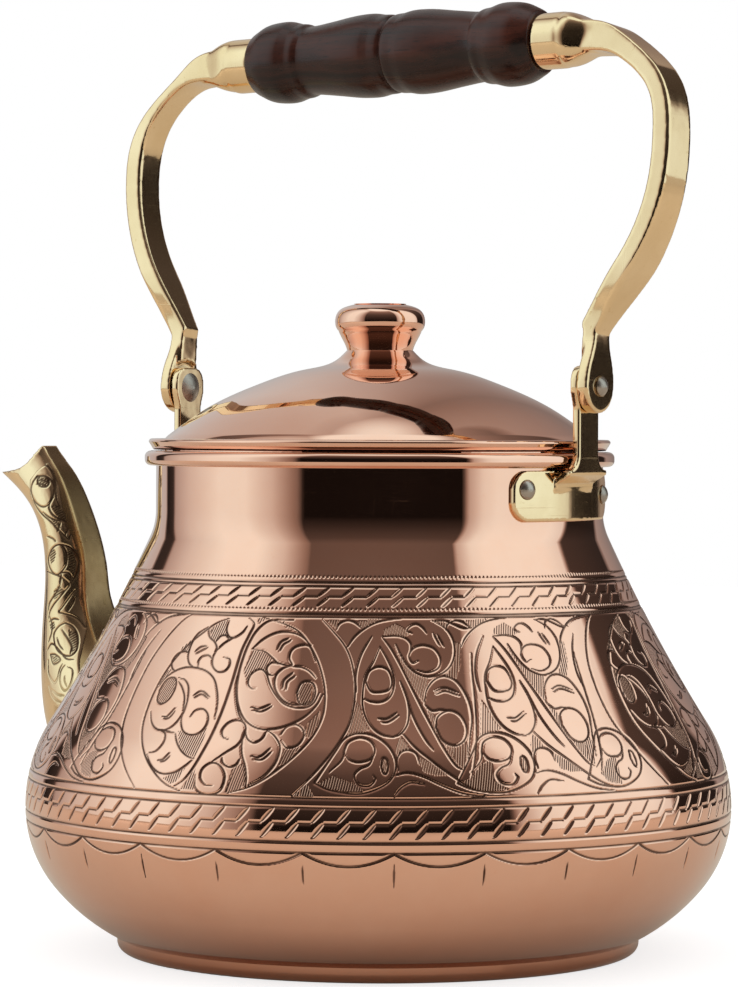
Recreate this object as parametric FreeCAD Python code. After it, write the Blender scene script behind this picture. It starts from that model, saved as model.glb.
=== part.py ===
import FreeCAD, Part
import math
import os

# Copper teapot with a cast brass spout, a hinged brass bail handle and a lift-off lid.
# Lengths are in millimetres and angles in degrees. The origin is the middle of the foot, on the
# table, +Z is up and the spout points along -X. The handle turns about a line along X.

# Pot, spun from copper sheet
sheet_wall = 1.0
belly_radius = 90.0
belly_height = 37.0
belly_top_curve = 40.0
belly_low_curve = 31.8
belly_low_turn = 40.0
belly_under_curve = 50.7
shoulder_curve = 400.0
neck_radius = 57.0
neck_length = 15.1
neck_fillet = 16.0
rim_height = 127.1
rim_bead_radius = 59.9
rim_bead_depth = 3.7
rim_bead_round = 1.5

# Base plate, a shallow pan soldered over the pot's lower edge
foot_radius = 66.6
foot_edge_round = 2.4
foot_land = 3.0
base_recess = 0.8

# Strainer holes behind the spout
strainer_hole_radius = 2.0
strainer_pitch = 8.0
strainer_ring_holes = 6
strainer_tilt = 27.0

# Spout, cast brass
spout_reach = 33.9
spout_rise = 91.6
spout_width = 30.0
spout_wall = 1.9
spout_back_turn = 145.0

# Handle brackets, cast brass, riveted round the neck
strap_thickness = 1.35
strap_depth = 12.5
strap_span = 22.3
strap_corner = 4.5
strap_drop = 4.3
rivet_left_rise = 1.6
rivet_turn = 17.8
rivet_radius = 1.5
rivet_head_radius = 2.5
rivet_head_height = 1.3
lug_thickness = 2.0
lug_width = 9.4
lug_eye_radius = 5.9
lug_eye_rise = 5.2
lug_root_round = 4.0
lug_rim_gap = 0.4

# Hinge pins, riveted through bracket and handle
hinge_rise = 16.4
pin_radius = 1.8
pin_head_radius = 3.8
pin_head_height = 1.1
pin_tail_radius = 2.5
pin_tail_height = 1.4

# Handle arms, cast brass
arm_width = 9.8
arm_flare_width = 8.9
arm_thickness = 5.0
arm_eye_radius = 6.6
arm_eye_thickness = 2.9
arm_eye_recess = 7.0
arm_pinch_width = 7.1
arm_pinch_rise = 11.3
arm_flare_rise = 21.5
arm_knee_rise = 14.5
arm_knee_radius = 63.2
arm_inner_step = 1.1
rear_bow_radius = 81.5
front_bow_radius = 80.9
arm_bow_rise = 58.0
arm_bow_curve = 53.0
arm_root_depth = 8.0
arm_edge_bevel = 0.5
ferrule_radius = 7.1
ferrule_straight = 6.5
ferrule_length = 11.0

# Grip, turned hardwood on a steel rod
grip_rise = 86.2
grip_length = 87.0
grip_bead_radius = 10.6
grip_bead_length = 17.2
grip_waist_radius = 8.9
grip_barrel_radius = 10.8
grip_groove_radius = 9.5
grip_end_radius = 7.6
grip_shift = 0.6
grip_tilt = 1.1
rod_radius = 2.5
rod_grip_depth = 6.0
handle_lean = 6.0

# Lid, spun from copper sheet
lid_sheet = 1.0
lid_radius = 58.9
lid_edge_depth = 2.8
lid_edge_slant = 1.2
lid_edge_round = 0.8
lid_dome_radius = 54.0
lid_dome_step = 0.8
lid_dome_rise = 21.8
crown_radius = 8.5
collar_sheet = 1.0
collar_depth = 5.4

# Knob and its screw
knob_radius = 11.5
knob_height = 11.9
knob_foot_radius = 8.4
knob_waist_radius = 8.6
knob_ledge_radius = 10.6
screw_radius = 2.0
screw_head_radius = 3.8
screw_head_height = 2.4
screw_grip = 7.0
washer_radius = 6.0
washer_thickness = 0.8

# Clearances and overruns
running_gap = 0.05
moving_gap = 0.3
seat_gap = 0.08
overrun = 5.0

up = FreeCAD.Vector(0, 0, 1)
along_x = FreeCAD.Vector(1, 0, 0)
along_y = FreeCAD.Vector(0, 1, 0)
origin = FreeCAD.Vector(0, 0, 0)
full_turn = 360
half_turn = 180
quarter_turn = 90

# Heights and radii that several pieces share
neck_start = rim_height - neck_length
hinge_height = rim_height + hinge_rise
hinge_point = FreeCAD.Vector(0, 0, hinge_height)
grip_height = hinge_height + grip_rise
grip_middle = FreeCAD.Vector(0, 0, grip_height)
strap_top = rim_height - strap_drop
strap_bottom = strap_top - strap_depth
strap_middle = strap_top - strap_depth / 2
strap_radius = neck_radius + strap_thickness
lug_inside = rim_bead_radius + lug_rim_gap
lug_outside = lug_inside + lug_thickness
arm_inside = lug_outside + moving_gap
arm_outside = arm_inside + arm_eye_thickness
lid_bottom = rim_height + moving_gap
lid_flange_top = lid_bottom + lid_edge_depth
crown_height = lid_flange_top + lid_dome_step + lid_dome_rise


def spot(across, height):
    """A point of a side outline, in the plane Y = 0."""
    return FreeCAD.Vector(across, 0, height)


def front_spot(side, height):
    """A point of a front outline, in the plane X = 0."""
    return FreeCAD.Vector(0, side, height)


def polar(centre, radius, angle):
    """The point of a circle in the plane Y = 0, with the angle counted up from outwards."""
    turn = math.radians(angle)
    return centre + spot(radius * math.cos(turn), radius * math.sin(turn))


def arc(centre, radius, first, last):
    """An arc in the plane Y = 0 between two angles."""
    middle = (first + last) / 2
    points = [polar(centre, radius, angle) for angle in (first, middle, last)]
    return Part.Arc(*points).toShape()


def angle_to(start, end):
    """The angle of the line from one point of the plane Y = 0 to another."""
    step = end - start
    return math.degrees(math.atan2(step.z, step.x))


def line(start, end):
    return Part.makeLine(start, end)


def path(*points):
    """Straight edges through the points."""
    return [line(a, b) for a, b in zip(points, points[1:])]


def curve(points, first_way=None, last_way=None):
    """A smooth edge through a few points, with the directions at its ends if they are given."""
    spline = Part.BSplineCurve()
    if first_way is None:
        spline.interpolate(Points=points)
    else:
        spline.interpolate(Points=points, InitialTangent=first_way, FinalTangent=last_way)
    return spline.toShape()


def face_of(edges):
    """A flat face inside a closed chain of edges."""
    return Part.Face(Part.Wire(Part.__sortEdges__(edges)))


def turned(edges, point=origin, axis=up):
    """A solid turned from a closed outline about an axis."""
    return face_of(edges).revolve(point, axis, full_turn)


def rod(radius, length, start, way):
    return Part.makeCylinder(radius, length, start, way)


def both_sides(shape):
    """The shape turned half round the pot, for the pieces on the spout's side."""
    other = shape.copy()
    other.rotate(origin, up, half_turn)
    return other


# Pot

def pot_centres():
    """Centres of the pot's arcs: shoulder fillet, shoulder, upper belly, lower belly, underside."""
    fillet = spot(neck_radius + neck_fillet, neck_start)
    top = spot(belly_radius - belly_top_curve, belly_height)
    low = spot(belly_radius - belly_low_curve, belly_height)
    under = polar(low, belly_low_curve - belly_under_curve, -belly_low_turn)
    # The shoulder's arc touches the upper belly from outside and the neck fillet from inside.
    from_top = belly_top_curve + shoulder_curve
    from_fillet = shoulder_curve - neck_fillet
    apart = (fillet - top).Length
    along = (from_top ** 2 - from_fillet ** 2 + apart ** 2) / (2 * apart)
    aside = math.sqrt(from_top ** 2 - along ** 2)
    way = (fillet - top) / apart
    shoulder = top + way * along + spot(way.z, -way.x) * aside
    return fillet, shoulder, top, low, under


def pot_outline(inset):
    """The pot's side from rim to lower edge, moved into the sheet by inset."""
    fillet, shoulder, top, low, under = pot_centres()
    neck = neck_radius - inset
    skirt = foot_radius - sheet_wall - inset
    low_end = -math.degrees(math.acos((skirt - under.x) / (belly_under_curve - inset)))
    shoulder_top = angle_to(shoulder, fillet)
    shoulder_foot = angle_to(shoulder, top)
    skirt_top = polar(under, belly_under_curve - inset, low_end)
    return [
        line(spot(neck, rim_height), spot(neck, neck_start)),
        arc(fillet, neck_fillet + inset, -half_turn, angle_to(shoulder, fillet)),
        arc(shoulder, shoulder_curve + inset, shoulder_top, shoulder_foot),
        arc(top, belly_top_curve - inset, shoulder_foot + half_turn, 0),
        arc(low, belly_low_curve - inset, 0, -belly_low_turn),
        arc(under, belly_under_curve - inset, -belly_low_turn, low_end),
        line(skirt_top, spot(skirt, base_recess + sheet_wall)),
    ]


def pot_volume():
    """The pot with its inside filled, to trim what seats on it."""
    floor = base_recess + sheet_wall
    skirt = foot_radius - sheet_wall
    closing = path(spot(skirt, floor), spot(0, floor), spot(0, rim_height),
                   spot(neck_radius, rim_height))
    return turned(pot_outline(0) + closing)


def rim_bead():
    """The rolled edge round the mouth."""
    inside = neck_radius - sheet_wall / 2
    edge = rim_bead_radius - rim_bead_round
    bottom = rim_height - rim_bead_depth
    low = spot(edge, bottom + rim_bead_round)
    high = spot(edge, rim_height - rim_bead_round)
    return turned([
        arc(low, rim_bead_round, -quarter_turn, 0),
        line(polar(low, rim_bead_round, 0), polar(high, rim_bead_round, 0)),
        arc(high, rim_bead_round, 0, quarter_turn),
    ] + path(spot(edge, rim_height), spot(inside, rim_height), spot(inside, bottom),
             spot(edge, bottom)))


def strainer_holes():
    """A hole with a ring of holes round it, square to the wall behind the spout."""
    tilt = math.radians(strainer_tilt)
    way = spot(-math.cos(tilt), math.sin(tilt))
    centre = spout_root()
    start = centre - way * spout_width
    holes = rod(strainer_hole_radius, spout_width * 2, start, way)
    step = along_y * strainer_pitch
    for index in range(strainer_ring_holes):
        turn = FreeCAD.Rotation(way, index * full_turn / strainer_ring_holes)
        place = start + turn.multVec(step)
        holes = holes.fuse(rod(strainer_hole_radius, spout_width * 2, place, way))
    reach = belly_radius * 2
    far_side = Part.makeBox(reach, reach, reach, FreeCAD.Vector(0, -belly_radius, 0))
    return holes.cut(far_side)


def body_shell():
    """The spun pot: neck, shoulder, belly and skirt, open at the top and bottom."""
    floor = base_recess + sheet_wall
    outer = foot_radius - sheet_wall
    ends = path(spot(outer, floor), spot(outer - sheet_wall, floor))
    ends += path(spot(neck_radius, rim_height), spot(neck_radius - sheet_wall, rim_height))
    shell = turned(pot_outline(0) + pot_outline(sheet_wall) + ends)
    shell = shell.fuse(rim_bead()).removeSplitter()
    return shell.cut(strainer_holes()).cut(bracket_rivet_holes())


def base_plate():
    """The pan that closes the pot and makes its foot."""
    corner = foot_radius - foot_edge_round
    land = corner - foot_land
    wall_top = belly_height / 2
    inside = foot_radius - sheet_wall
    floor = base_recess + sheet_wall
    edge = spot(corner, foot_edge_round)
    pan = turned([arc(edge, foot_edge_round, -quarter_turn, 0)] + path(
        spot(foot_radius, foot_edge_round), spot(foot_radius, wall_top), spot(inside, wall_top),
        spot(inside, floor), spot(0, floor), spot(0, base_recess),
        spot(land - base_recess, base_recess), spot(land, 0), spot(corner, 0)))
    return pan.cut(pot_volume())


# Spout

# Each row is one cross-section from the belly to the mouth: the outer and the inner edge of the
# tube, each as its distance beyond the belly and its height above the belly's widest ring, and the
# width. The shares are of spout_reach, spout_rise and spout_width.
spout_shares = (
    ((-0.177, -0.040), (-0.590, 0.317), 1.00),
    ((0.165, 0.035), (-0.324, 0.420), 0.97),
    ((0.415, 0.130), (-0.133, 0.480), 0.85),
    ((0.505, 0.263), (-0.041, 0.544), 0.71),
    ((0.518, 0.442), (0.000, 0.607), 0.61),
    ((0.499, 0.600), (0.029, 0.680), 0.55),
    ((0.531, 0.715), (0.103, 0.760), 0.52),
    ((0.643, 0.802), (0.201, 0.847), 0.48),
    ((0.811, 0.862), (0.324, 0.928), 0.41),
    ((1.032, 0.919), (0.516, 1.032), 0.35),
)
# The mouth's edge seen from the side, from the crest past the notch to the tip of the lip
mouth_shares = ((0.365, 0.950), (0.425, 0.986), (0.500, 0.999), (0.575, 0.972), (0.652, 0.938),
                (0.788, 0.920), (1.000, 0.912))


def spout_spot(share):
    """A point of the spout's side view, from its shares of the reach and the rise."""
    out, rise = share
    return spot(-belly_radius - out * spout_reach, belly_height + rise * spout_rise)


def spout_root():
    """Where the spout's bore meets the pot's wall."""
    outer, inner, width = spout_shares[0]
    return (spout_spot(outer) + spout_spot(inner)) / 2


def spout_section(row, wall, shift):
    """A round cross-section with a flat back, drawn in by the wall and shifted along the tube."""
    outer, inner, width = row
    front, back = spout_spot(outer), spout_spot(inner)
    centre = (front + back) / 2
    across = (front - back).normalize()
    centre = centre + spot(across.z, -across.x) * shift
    depth = (front - back).Length / 2 - wall
    half = width * spout_width / 2 - wall
    way = (front - back).normalize()
    points = []
    steps = 4
    for step in range(-steps, steps + 1):
        turn = math.radians(step * spout_back_turn / steps)
        points.append(centre + way * depth * math.cos(turn) + along_y * half * math.sin(turn))
    side_a = curve(points[:steps + 1])
    side_b = curve(points[steps:])
    return Part.Wire([side_a, side_b, line(points[-1], points[0])])


def spout_loft(wall, longer):
    """The tube's outside or bore, with its two ends drawn out so that the bore runs through."""
    shifts = [0] * len(spout_shares)
    shifts[0], shifts[-1] = -longer, longer
    rows = [spout_section(row, wall, shift) for row, shift in zip(spout_shares, shifts)]
    return Part.makeLoft(rows, True, False)


def mouth_cutter():
    """Everything above the mouth's edge."""
    edge = [spout_spot(share) for share in mouth_shares]
    first, last = edge[0], edge[-1]
    high = belly_height + spout_rise * 2
    inward = spot(first.x + spout_width, first.z)
    outward = spot(last.x - spout_width, last.z)
    chain = [curve(edge)] + path(last, outward, spot(outward.x, high), spot(inward.x, high),
                                 inward, first)
    half = along_y * spout_width
    return face_of(chain).extrude(half * 2).translated(half * -1)


def spout():
    """The swan-necked spout, hollow, cut to seat on the pot and open at the beak."""
    tube = spout_loft(0, 0).cut(spout_loft(spout_wall, overrun))
    return tube.cut(mouth_cutter()).cut(pot_volume())


# Brackets and rivets

def bracket_outline():
    """The bracket from the front: strap, fillets, lug and round eye."""
    reach = neck_radius * math.sin(math.radians(strap_span))
    half = lug_width / 2
    inset = reach - strap_corner
    waist = hinge_height - lug_eye_radius
    root = strap_top + lug_root_round
    cosine = math.cos(math.radians(full_turn / 8))
    edges = []
    for side in (-1, 1):
        corner = FreeCAD.Vector(0, side * inset, strap_bottom + strap_corner)
        below = Part.Arc(
            front_spot(side * inset, strap_bottom),
            corner + front_spot(side * strap_corner * cosine, -strap_corner * cosine),
            front_spot(side * reach, strap_bottom + strap_corner)).toShape()
        above = Part.Arc(
            front_spot(side * reach, strap_top - strap_corner),
            front_spot(side * (inset + strap_corner * cosine),
                       strap_top - strap_corner * (1 - cosine)),
            front_spot(side * inset, strap_top)).toShape()
        outer = half + lug_root_round
        fillet = Part.Arc(
            front_spot(side * outer, strap_top),
            front_spot(side * (outer - lug_root_round * cosine),
                       root - lug_root_round * cosine),
            front_spot(side * half, root)).toShape()
        edges += [below, above, fillet]
        edges += path(below.Vertexes[-1].Point, above.Vertexes[0].Point)
        edges += path(front_spot(side * inset, strap_top), front_spot(side * outer, strap_top))
        edges += path(front_spot(side * half, root), front_spot(side * half, waist))
        edges.append(curve([front_spot(side * half, waist),
                            front_spot(side * lug_eye_radius, hinge_height)], up, up))
    edges.append(curve([front_spot(-lug_eye_radius, hinge_height),
                        front_spot(0, hinge_height + lug_eye_rise),
                        front_spot(lug_eye_radius, hinge_height)], up, up * -1))
    edges += path(front_spot(-inset, strap_bottom), front_spot(inset, strap_bottom))
    return face_of(edges)


def bracket():
    """Strap round the neck with a lug that steps out past the rim to the hinge."""
    outline = bracket_outline().extrude(along_x * (lug_outside + overrun))
    ring = rod(strap_radius, strap_depth, up * strap_bottom, up)
    strap = ring.common(outline)
    step = lug_inside - neck_radius
    knee = rim_height - rim_bead_depth - strap_thickness / 2
    side = path(
        spot(neck_radius - lug_thickness, knee - step - strap_thickness),
        spot(strap_radius, knee - step - strap_thickness),
        spot(strap_radius, knee - step),
        spot(lug_outside, knee - lug_thickness / 2), spot(lug_outside, grip_height),
        spot(lug_inside, grip_height), spot(lug_inside, knee),
        spot(neck_radius, knee - step), spot(neck_radius - lug_thickness, knee - step),
        spot(neck_radius - lug_thickness, knee - step - strap_thickness))
    spread = along_y * (lug_width / 2 + lug_root_round)
    lug = face_of(side).extrude(spread * 2).translated(spread * -1)
    neck = rod(neck_radius, rim_height, origin, up)
    whole = strap.fuse(lug.common(outline)).cut(neck).cut(pot_volume()).removeSplitter()
    hole = rod(pin_radius + running_gap, lug_outside + overrun, hinge_point, along_x)
    return whole.cut(hole)


def rivet_places():
    """Turn about the pot's axis and height of the four rivets, left and right facing the spout."""
    high = strap_middle + rivet_left_rise
    return {
        "rear_rivet_left": (-rivet_turn, high),
        "rear_rivet_right": (rivet_turn, strap_middle),
        "front_rivet_left": (half_turn + rivet_turn, high),
        "front_rivet_right": (half_turn - rivet_turn, strap_middle),
    }


def bracket_rivet_holes():
    """The rivets' holes through strap and wall, as one cutter."""
    cutter = None
    for turn, height in rivet_places().values():
        hole = rod(rivet_radius + running_gap, rivet_head_radius * 4,
                   spot(strap_radius - rivet_head_radius * 2, height), along_x)
        hole.rotate(origin, up, turn)
        cutter = hole if cutter is None else cutter.fuse(hole)
    return cutter


def domed_head(radius, height, start, way):
    """A round rivet head: a slice of a ball on a flat seat, facing along X."""
    ball = (radius ** 2 + height ** 2) / (2 * height)
    centre = start + way * (height - ball)
    lean = math.asin(radius / ball) / 2
    middle = centre + way * ball * math.cos(lean) + up * ball * math.sin(lean)
    edge, crest = start + up * radius, start + way * height
    profile = [Part.Arc(edge, middle, crest).toShape()] + path(crest, start, edge)
    return turned(profile, start, along_x)


def rivet(turn, height):
    """A rivet with a domed head outside and a flatter one inside the neck."""
    inside = neck_radius - sheet_wall
    seat = math.sqrt(inside ** 2 - rivet_head_radius ** 2) - seat_gap
    outer = spot(strap_radius + seat_gap, height)
    inner = spot(seat, height)
    shank = rod(rivet_radius, outer.x - inner.x, inner, along_x)
    body = shank.fuse(domed_head(rivet_head_radius, rivet_head_height, outer, along_x))
    body = body.fuse(domed_head(rivet_head_radius, rivet_head_height * 0.8, inner, along_x * -1))
    body = body.removeSplitter()
    body.rotate(origin, up, turn)
    return body


def hinge_pin():
    """The hinge's rivet, from its large head inside the lug to its small one outside the arm."""
    inner = spot(lug_inside, hinge_height)
    outer = spot(arm_outside + moving_gap, hinge_height)
    shank = rod(pin_radius, outer.x - inner.x, inner, along_x)
    body = shank.fuse(domed_head(pin_head_radius, pin_head_height, inner, along_x * -1))
    return body.fuse(domed_head(pin_tail_radius, pin_tail_height, outer, along_x)).removeSplitter()


# Handle

# The two arms are bent by hand and differ: the grip's shift along X, its tilt, the bow's reach and
# the points of the bow's upper curves, as shares of the way out from the ferrule and up.
rear_bend = {
    "shift": -grip_shift, "tilt": grip_tilt, "reach": rear_bow_radius,
    "outer_shares": ((0.827, 0.627), (0.518, 0.870)),
    "inner_shares": ((0.850, 0.685), (0.550, 0.925)),
}
front_bend = {
    "shift": grip_shift, "tilt": -grip_tilt, "reach": front_bow_radius,
    "outer_shares": ((0.800, 0.508), (0.451, 0.810)),
    "inner_shares": ((0.800, 0.660), (0.500, 0.930)),
}


def on_grip(along, aside, tilt):
    """A point of the grip's side view, tilted with it about its middle."""
    turn = math.radians(tilt)
    return grip_middle + spot(along * math.cos(turn) - aside * math.sin(turn),
                              along * math.sin(turn) + aside * math.cos(turn))


def tilted(shape, tilt):
    """A shape of the level grip, tilted about the grip's middle."""
    piece = shape.copy()
    piece.rotate(grip_middle, along_y, -tilt)
    return piece


def between(crown, side, shares):
    """The points between a curve's side and its crown, at shares of the way out and the way up."""
    return [spot(crown.x + (side.x - crown.x) * out, side.z + (crown.z - side.z) * rise)
            for out, rise in shares]


def arm_side(bend):
    """The arm from the side: eye, knee, straight, bow and the root that meets the ferrule."""
    half = arm_thickness / 2
    bow_centre = spot(bend["reach"] - arm_bow_curve, hinge_height + arm_bow_rise)
    knee = spot(arm_knee_radius, hinge_height + arm_knee_rise)
    # The straight runs from the knee and touches the bow's circle.
    away = (bow_centre - knee).Length
    turn = angle_to(bow_centre, knee) + math.degrees(math.acos(arm_bow_curve / away))
    way = spot(math.cos(math.radians(turn)), math.sin(math.radians(turn)))
    root = grip_length / 2 + ferrule_length + bend["shift"]
    level = on_grip(1, 0, bend["tilt"]) - grip_middle
    outer_knee, inner_knee = knee + way * half, knee - way * half
    crown_out = on_grip(root, arm_root_depth / 2, bend["tilt"])
    crown_in = on_grip(root, -arm_root_depth / 2, bend["tilt"])
    outer_top = polar(bow_centre, arm_bow_curve + half, 0)
    inner_top = polar(bow_centre, arm_bow_curve - half, 0)
    outer_mid = between(crown_out, outer_top, bend["outer_shares"])
    inner_mid = between(crown_in, inner_top, bend["inner_shares"])
    low = hinge_height - arm_eye_radius * 2
    eye_top = hinge_height + arm_eye_radius
    edges = path(spot(arm_inside, low), spot(arm_outside, low), spot(arm_outside, eye_top),
                 outer_knee, polar(bow_centre, arm_bow_curve + half, turn))
    edges.append(arc(bow_centre, arm_bow_curve + half, turn, 0))
    edges.append(curve([outer_top] + outer_mid + [crown_out], up, level * -1))
    edges += path(crown_out, crown_in)
    edges.append(curve([inner_top] + inner_mid + [crown_in], up, level * -1))
    edges.append(arc(bow_centre, arm_bow_curve - half, 0, turn))
    inner_face = arm_inside - arm_inner_step
    edges += path(polar(bow_centre, arm_bow_curve - half, turn), inner_knee,
                  spot(inner_face, inner_knee.z - half), spot(inner_face, hinge_height),
                  spot(arm_inside, hinge_height), spot(arm_inside, low))
    return face_of(edges)


def arm_front():
    """The arm from the front: leaf-shaped eye, pinch and full width."""
    pinch = hinge_height + arm_pinch_rise
    flare = hinge_height + arm_flare_rise
    bow = hinge_height + arm_bow_rise
    top = grip_height + arm_root_depth
    eye, half = arm_eye_radius, arm_width / 2
    edges = [Part.Arc(front_spot(-eye, hinge_height), front_spot(0, hinge_height - eye),
                      front_spot(eye, hinge_height)).toShape()]
    for side in (-1, 1):
        edges.append(curve([front_spot(side * eye, hinge_height),
                            front_spot(side * arm_pinch_width / 2, pinch),
                            front_spot(side * arm_flare_width / 2, flare),
                            front_spot(side * half, bow)], up, up))
        edges += path(front_spot(side * half, bow), front_spot(side * half, top))
    edges += path(front_spot(-half, top), front_spot(half, top))
    return face_of(edges)


def ferrule(bend):
    """The cup at the arm's end that the grip butts against, with the rod's socket."""
    start = grip_length / 2 + bend["shift"]
    shoulder = start + ferrule_straight
    root = start + ferrule_length
    neck = arm_root_depth * 0.46
    middle = (ferrule_radius + neck) / 2
    profile = path(spot(start, grip_height), spot(start, grip_height + ferrule_radius),
                   spot(shoulder, grip_height + ferrule_radius))
    profile.append(curve([spot(shoulder, grip_height + ferrule_radius),
                          spot((shoulder + root) / 2, grip_height + middle),
                          spot(root, grip_height + neck)], along_x, along_x))
    profile += path(spot(root, grip_height + neck), spot(root, grip_height),
                    spot(start, grip_height))
    cup = turned(profile, grip_middle, along_x)
    depth = rod_grip_depth + running_gap
    socket = rod(rod_radius + running_gap, depth, spot(start, grip_height), along_x)
    return tilted(cup, bend["tilt"]), tilted(socket, bend["tilt"])


def arm(bend):
    """A cast arm with its hinge eye at the bottom and its ferrule at the top, bent to the grip."""
    broad = along_y * (arm_eye_radius * 2)
    side = arm_side(bend).extrude(broad * 2).translated(broad * -1)
    front = arm_front().extrude(along_x * (bend["reach"] + arm_thickness))
    bar = side.common(front)
    # Room for the lug, so that the arm turns past it: round the eye, and beside the pinch.
    bar = bar.cut(rod(arm_eye_recess, arm_inside, hinge_point, along_x))
    pinch = arm_pinch_width / 2
    for side in (pinch, -pinch - arm_width):
        corner = FreeCAD.Vector(0, side, hinge_height)
        bar = bar.cut(Part.makeBox(arm_inside, arm_width, arm_pinch_rise, corner))
    long_edges = [edge for edge in bar.Edges if on_bow_corner(edge)]
    bar = bar.makeChamfer(arm_edge_bevel, long_edges)
    cup, socket = ferrule(bend)
    whole = bar.fuse(cup).removeSplitter()
    pin_hole = rod(pin_radius + running_gap, arm_outside + overrun, hinge_point, along_x)
    return whole.cut(pin_hole).cut(socket)


def on_bow_corner(edge):
    """True for the long corners of the arm above its knee."""
    middle = edge.valueAt((edge.FirstParameter + edge.LastParameter) / 2)
    high = middle.z > hinge_height + arm_knee_rise + arm_thickness
    return high and abs(middle.y) > arm_pinch_width / 2 and edge.Length > arm_width


# Points of the grip's outline: shares of the bead's length from the end, and of the barrel's from
# the groove, each with its share of the way from the smaller radius to the larger.
bead_shares = ((0, 0), (0.09, 0.39), (0.24, 0.785), (0.47, 1), (0.65, 0.96), (0.82, 0.71))
barrel_shares = ((1, 0), (0.845, 0.17), (0.66, 0.50), (0.47, 0.86), (0.315, 1), (0.2, 0.91),
                 (0.125, 0.72))


def grip_point(across, small, large, share):
    """A point of the grip's outline above its axis, between two radii."""
    return spot(across, grip_height + small + (large - small) * share)


def grip_outline():
    """Half of the grip's outline, from its end to the groove in its middle."""
    end = grip_length / 2
    waist = end - grip_bead_length
    bead = [grip_point(end - grip_bead_length * along, grip_end_radius, grip_bead_radius, rise)
            for along, rise in bead_shares]
    bead.append(spot(waist, grip_height + grip_waist_radius))
    barrel = [grip_point(waist * along, grip_waist_radius, grip_barrel_radius, rise)
              for along, rise in barrel_shares]
    barrel.append(spot(0, grip_height + grip_groove_radius))
    return [curve(bead, spot(-0.5, 1), spot(-1, -0.6)),
            curve(barrel, spot(-1, 0), spot(-1, -1.4))]


def grip():
    """The turned wooden grip: two beads and two barrels on one bore."""
    end = grip_length / 2
    half = turned(grip_outline() + path(
        spot(0, grip_height + grip_groove_radius), spot(0, grip_height),
        spot(end, grip_height), spot(end, grip_height + grip_end_radius)),
        grip_middle, along_x)
    whole = half.fuse(both_sides(half)).removeSplitter()
    bore = rod(rod_radius + running_gap, grip_length + overrun * 2,
               spot(-grip_length / 2 - overrun, grip_height), along_x)
    return whole.cut(bore)


def grip_rod():
    """The steel rod through the grip, held in both ferrules."""
    reach = grip_length / 2 + rod_grip_depth
    return rod(rod_radius, reach * 2, spot(-reach, grip_height), along_x)


def held(shape):
    """A piece of the grip, moved and tilted to where the two arms hold it."""
    return tilted(shape.translated(along_x * -grip_shift), grip_tilt)


def leaned(shape):
    """A piece of the handle, turned to the lean at which it stands."""
    piece = shape.copy()
    piece.rotate(hinge_point, along_x, -handle_lean)
    return piece


# Lid

# The dome from its foot to the crown: share of the way in to the crown's edge, share of the rise
dome_shares = ((0.0, 0.0), (0.226, 0.330), (0.516, 0.610), (0.758, 0.772), (0.943, 0.890), (1.0, 1.0))


def dome_curve(inset):
    """The dome's side, moved into the sheet by inset."""
    foot = lid_flange_top + lid_dome_step
    points = []
    for inward, rise in dome_shares:
        across = lid_dome_radius - inward * (lid_dome_radius - crown_radius)
        points.append(spot(across, foot + rise * lid_dome_rise))
    spline = Part.BSplineCurve()
    spline.interpolate(Points=points)
    if inset == 0:
        return spline.toShape()
    moved = []
    for point in points:
        way = spline.tangent(spline.parameter(point))[0]
        moved.append(point + spot(-abs(way.z), -abs(way.x)) * inset)
    return curve(moved)


def lid_dome():
    """The spun lid: rolled edge, flange, dome and flat crown."""
    outer, inner = dome_curve(0), dome_curve(lid_sheet)
    foot, inner_foot = outer.Vertexes[0].Point, inner.Vertexes[0].Point
    crown, inner_crown = outer.Vertexes[-1].Point, inner.Vertexes[-1].Point
    edge = spot(lid_radius - lid_edge_round, lid_flange_top - lid_edge_round)
    lip = spot(lid_radius - lid_edge_slant, lid_bottom)
    under = lid_flange_top - lid_sheet
    lip_inside = lip.x - lid_sheet
    outline = [outer, inner, arc(edge, lid_edge_round, 0, quarter_turn)]
    outline += path(polar(edge, lid_edge_round, 0), lip, spot(lip_inside, lid_bottom),
                    spot(lip_inside, under), spot(inner_foot.x, under), inner_foot)
    outline += path(foot, spot(foot.x + lid_dome_step, lid_flange_top),
                    polar(edge, lid_edge_round, quarter_turn))
    outline += path(crown, spot(0, crown_height), spot(0, crown_height - lid_sheet),
                    spot(crown_radius - lid_sheet, crown_height - lid_sheet), inner_crown)
    hole = rod(screw_radius + running_gap, knob_height, up * (crown_height - knob_height / 2), up)
    return turned(outline).cut(hole)


def lid_collar():
    """The ring under the lid that centres it in the neck, soldered to the dome."""
    outer = neck_radius - sheet_wall - moving_gap
    top = lid_flange_top - lid_sheet
    bottom = rim_height - collar_depth
    ring = rod(outer, top - bottom, up * bottom, up)
    return ring.cut(rod(outer - collar_sheet, top - bottom + overrun, up * bottom, up))


def knob():
    """The turned knob: foot, waist, flare, ledge and domed bulb."""
    def high(across, share):
        return spot(across, crown_height + share * knob_height)

    outline = [
        curve([high(knob_foot_radius, 0), high(knob_waist_radius, 0.06),
               high((knob_waist_radius + knob_ledge_radius) / 2, 0.24),
               high(knob_ledge_radius, 0.42)]),
        curve([high(knob_ledge_radius, 0.42), high(knob_radius, 0.62),
               high(knob_radius * 0.88, 0.88), high(knob_radius * 0.58, 0.985),
               high(0, 1)], spot(1, 1), spot(-1, 0)),
    ]
    outline += path(high(0, 1), high(0, 0), high(knob_foot_radius, 0))
    socket = rod(screw_radius + running_gap, screw_grip + running_gap, up * crown_height, up)
    return turned(outline).cut(socket)


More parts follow.
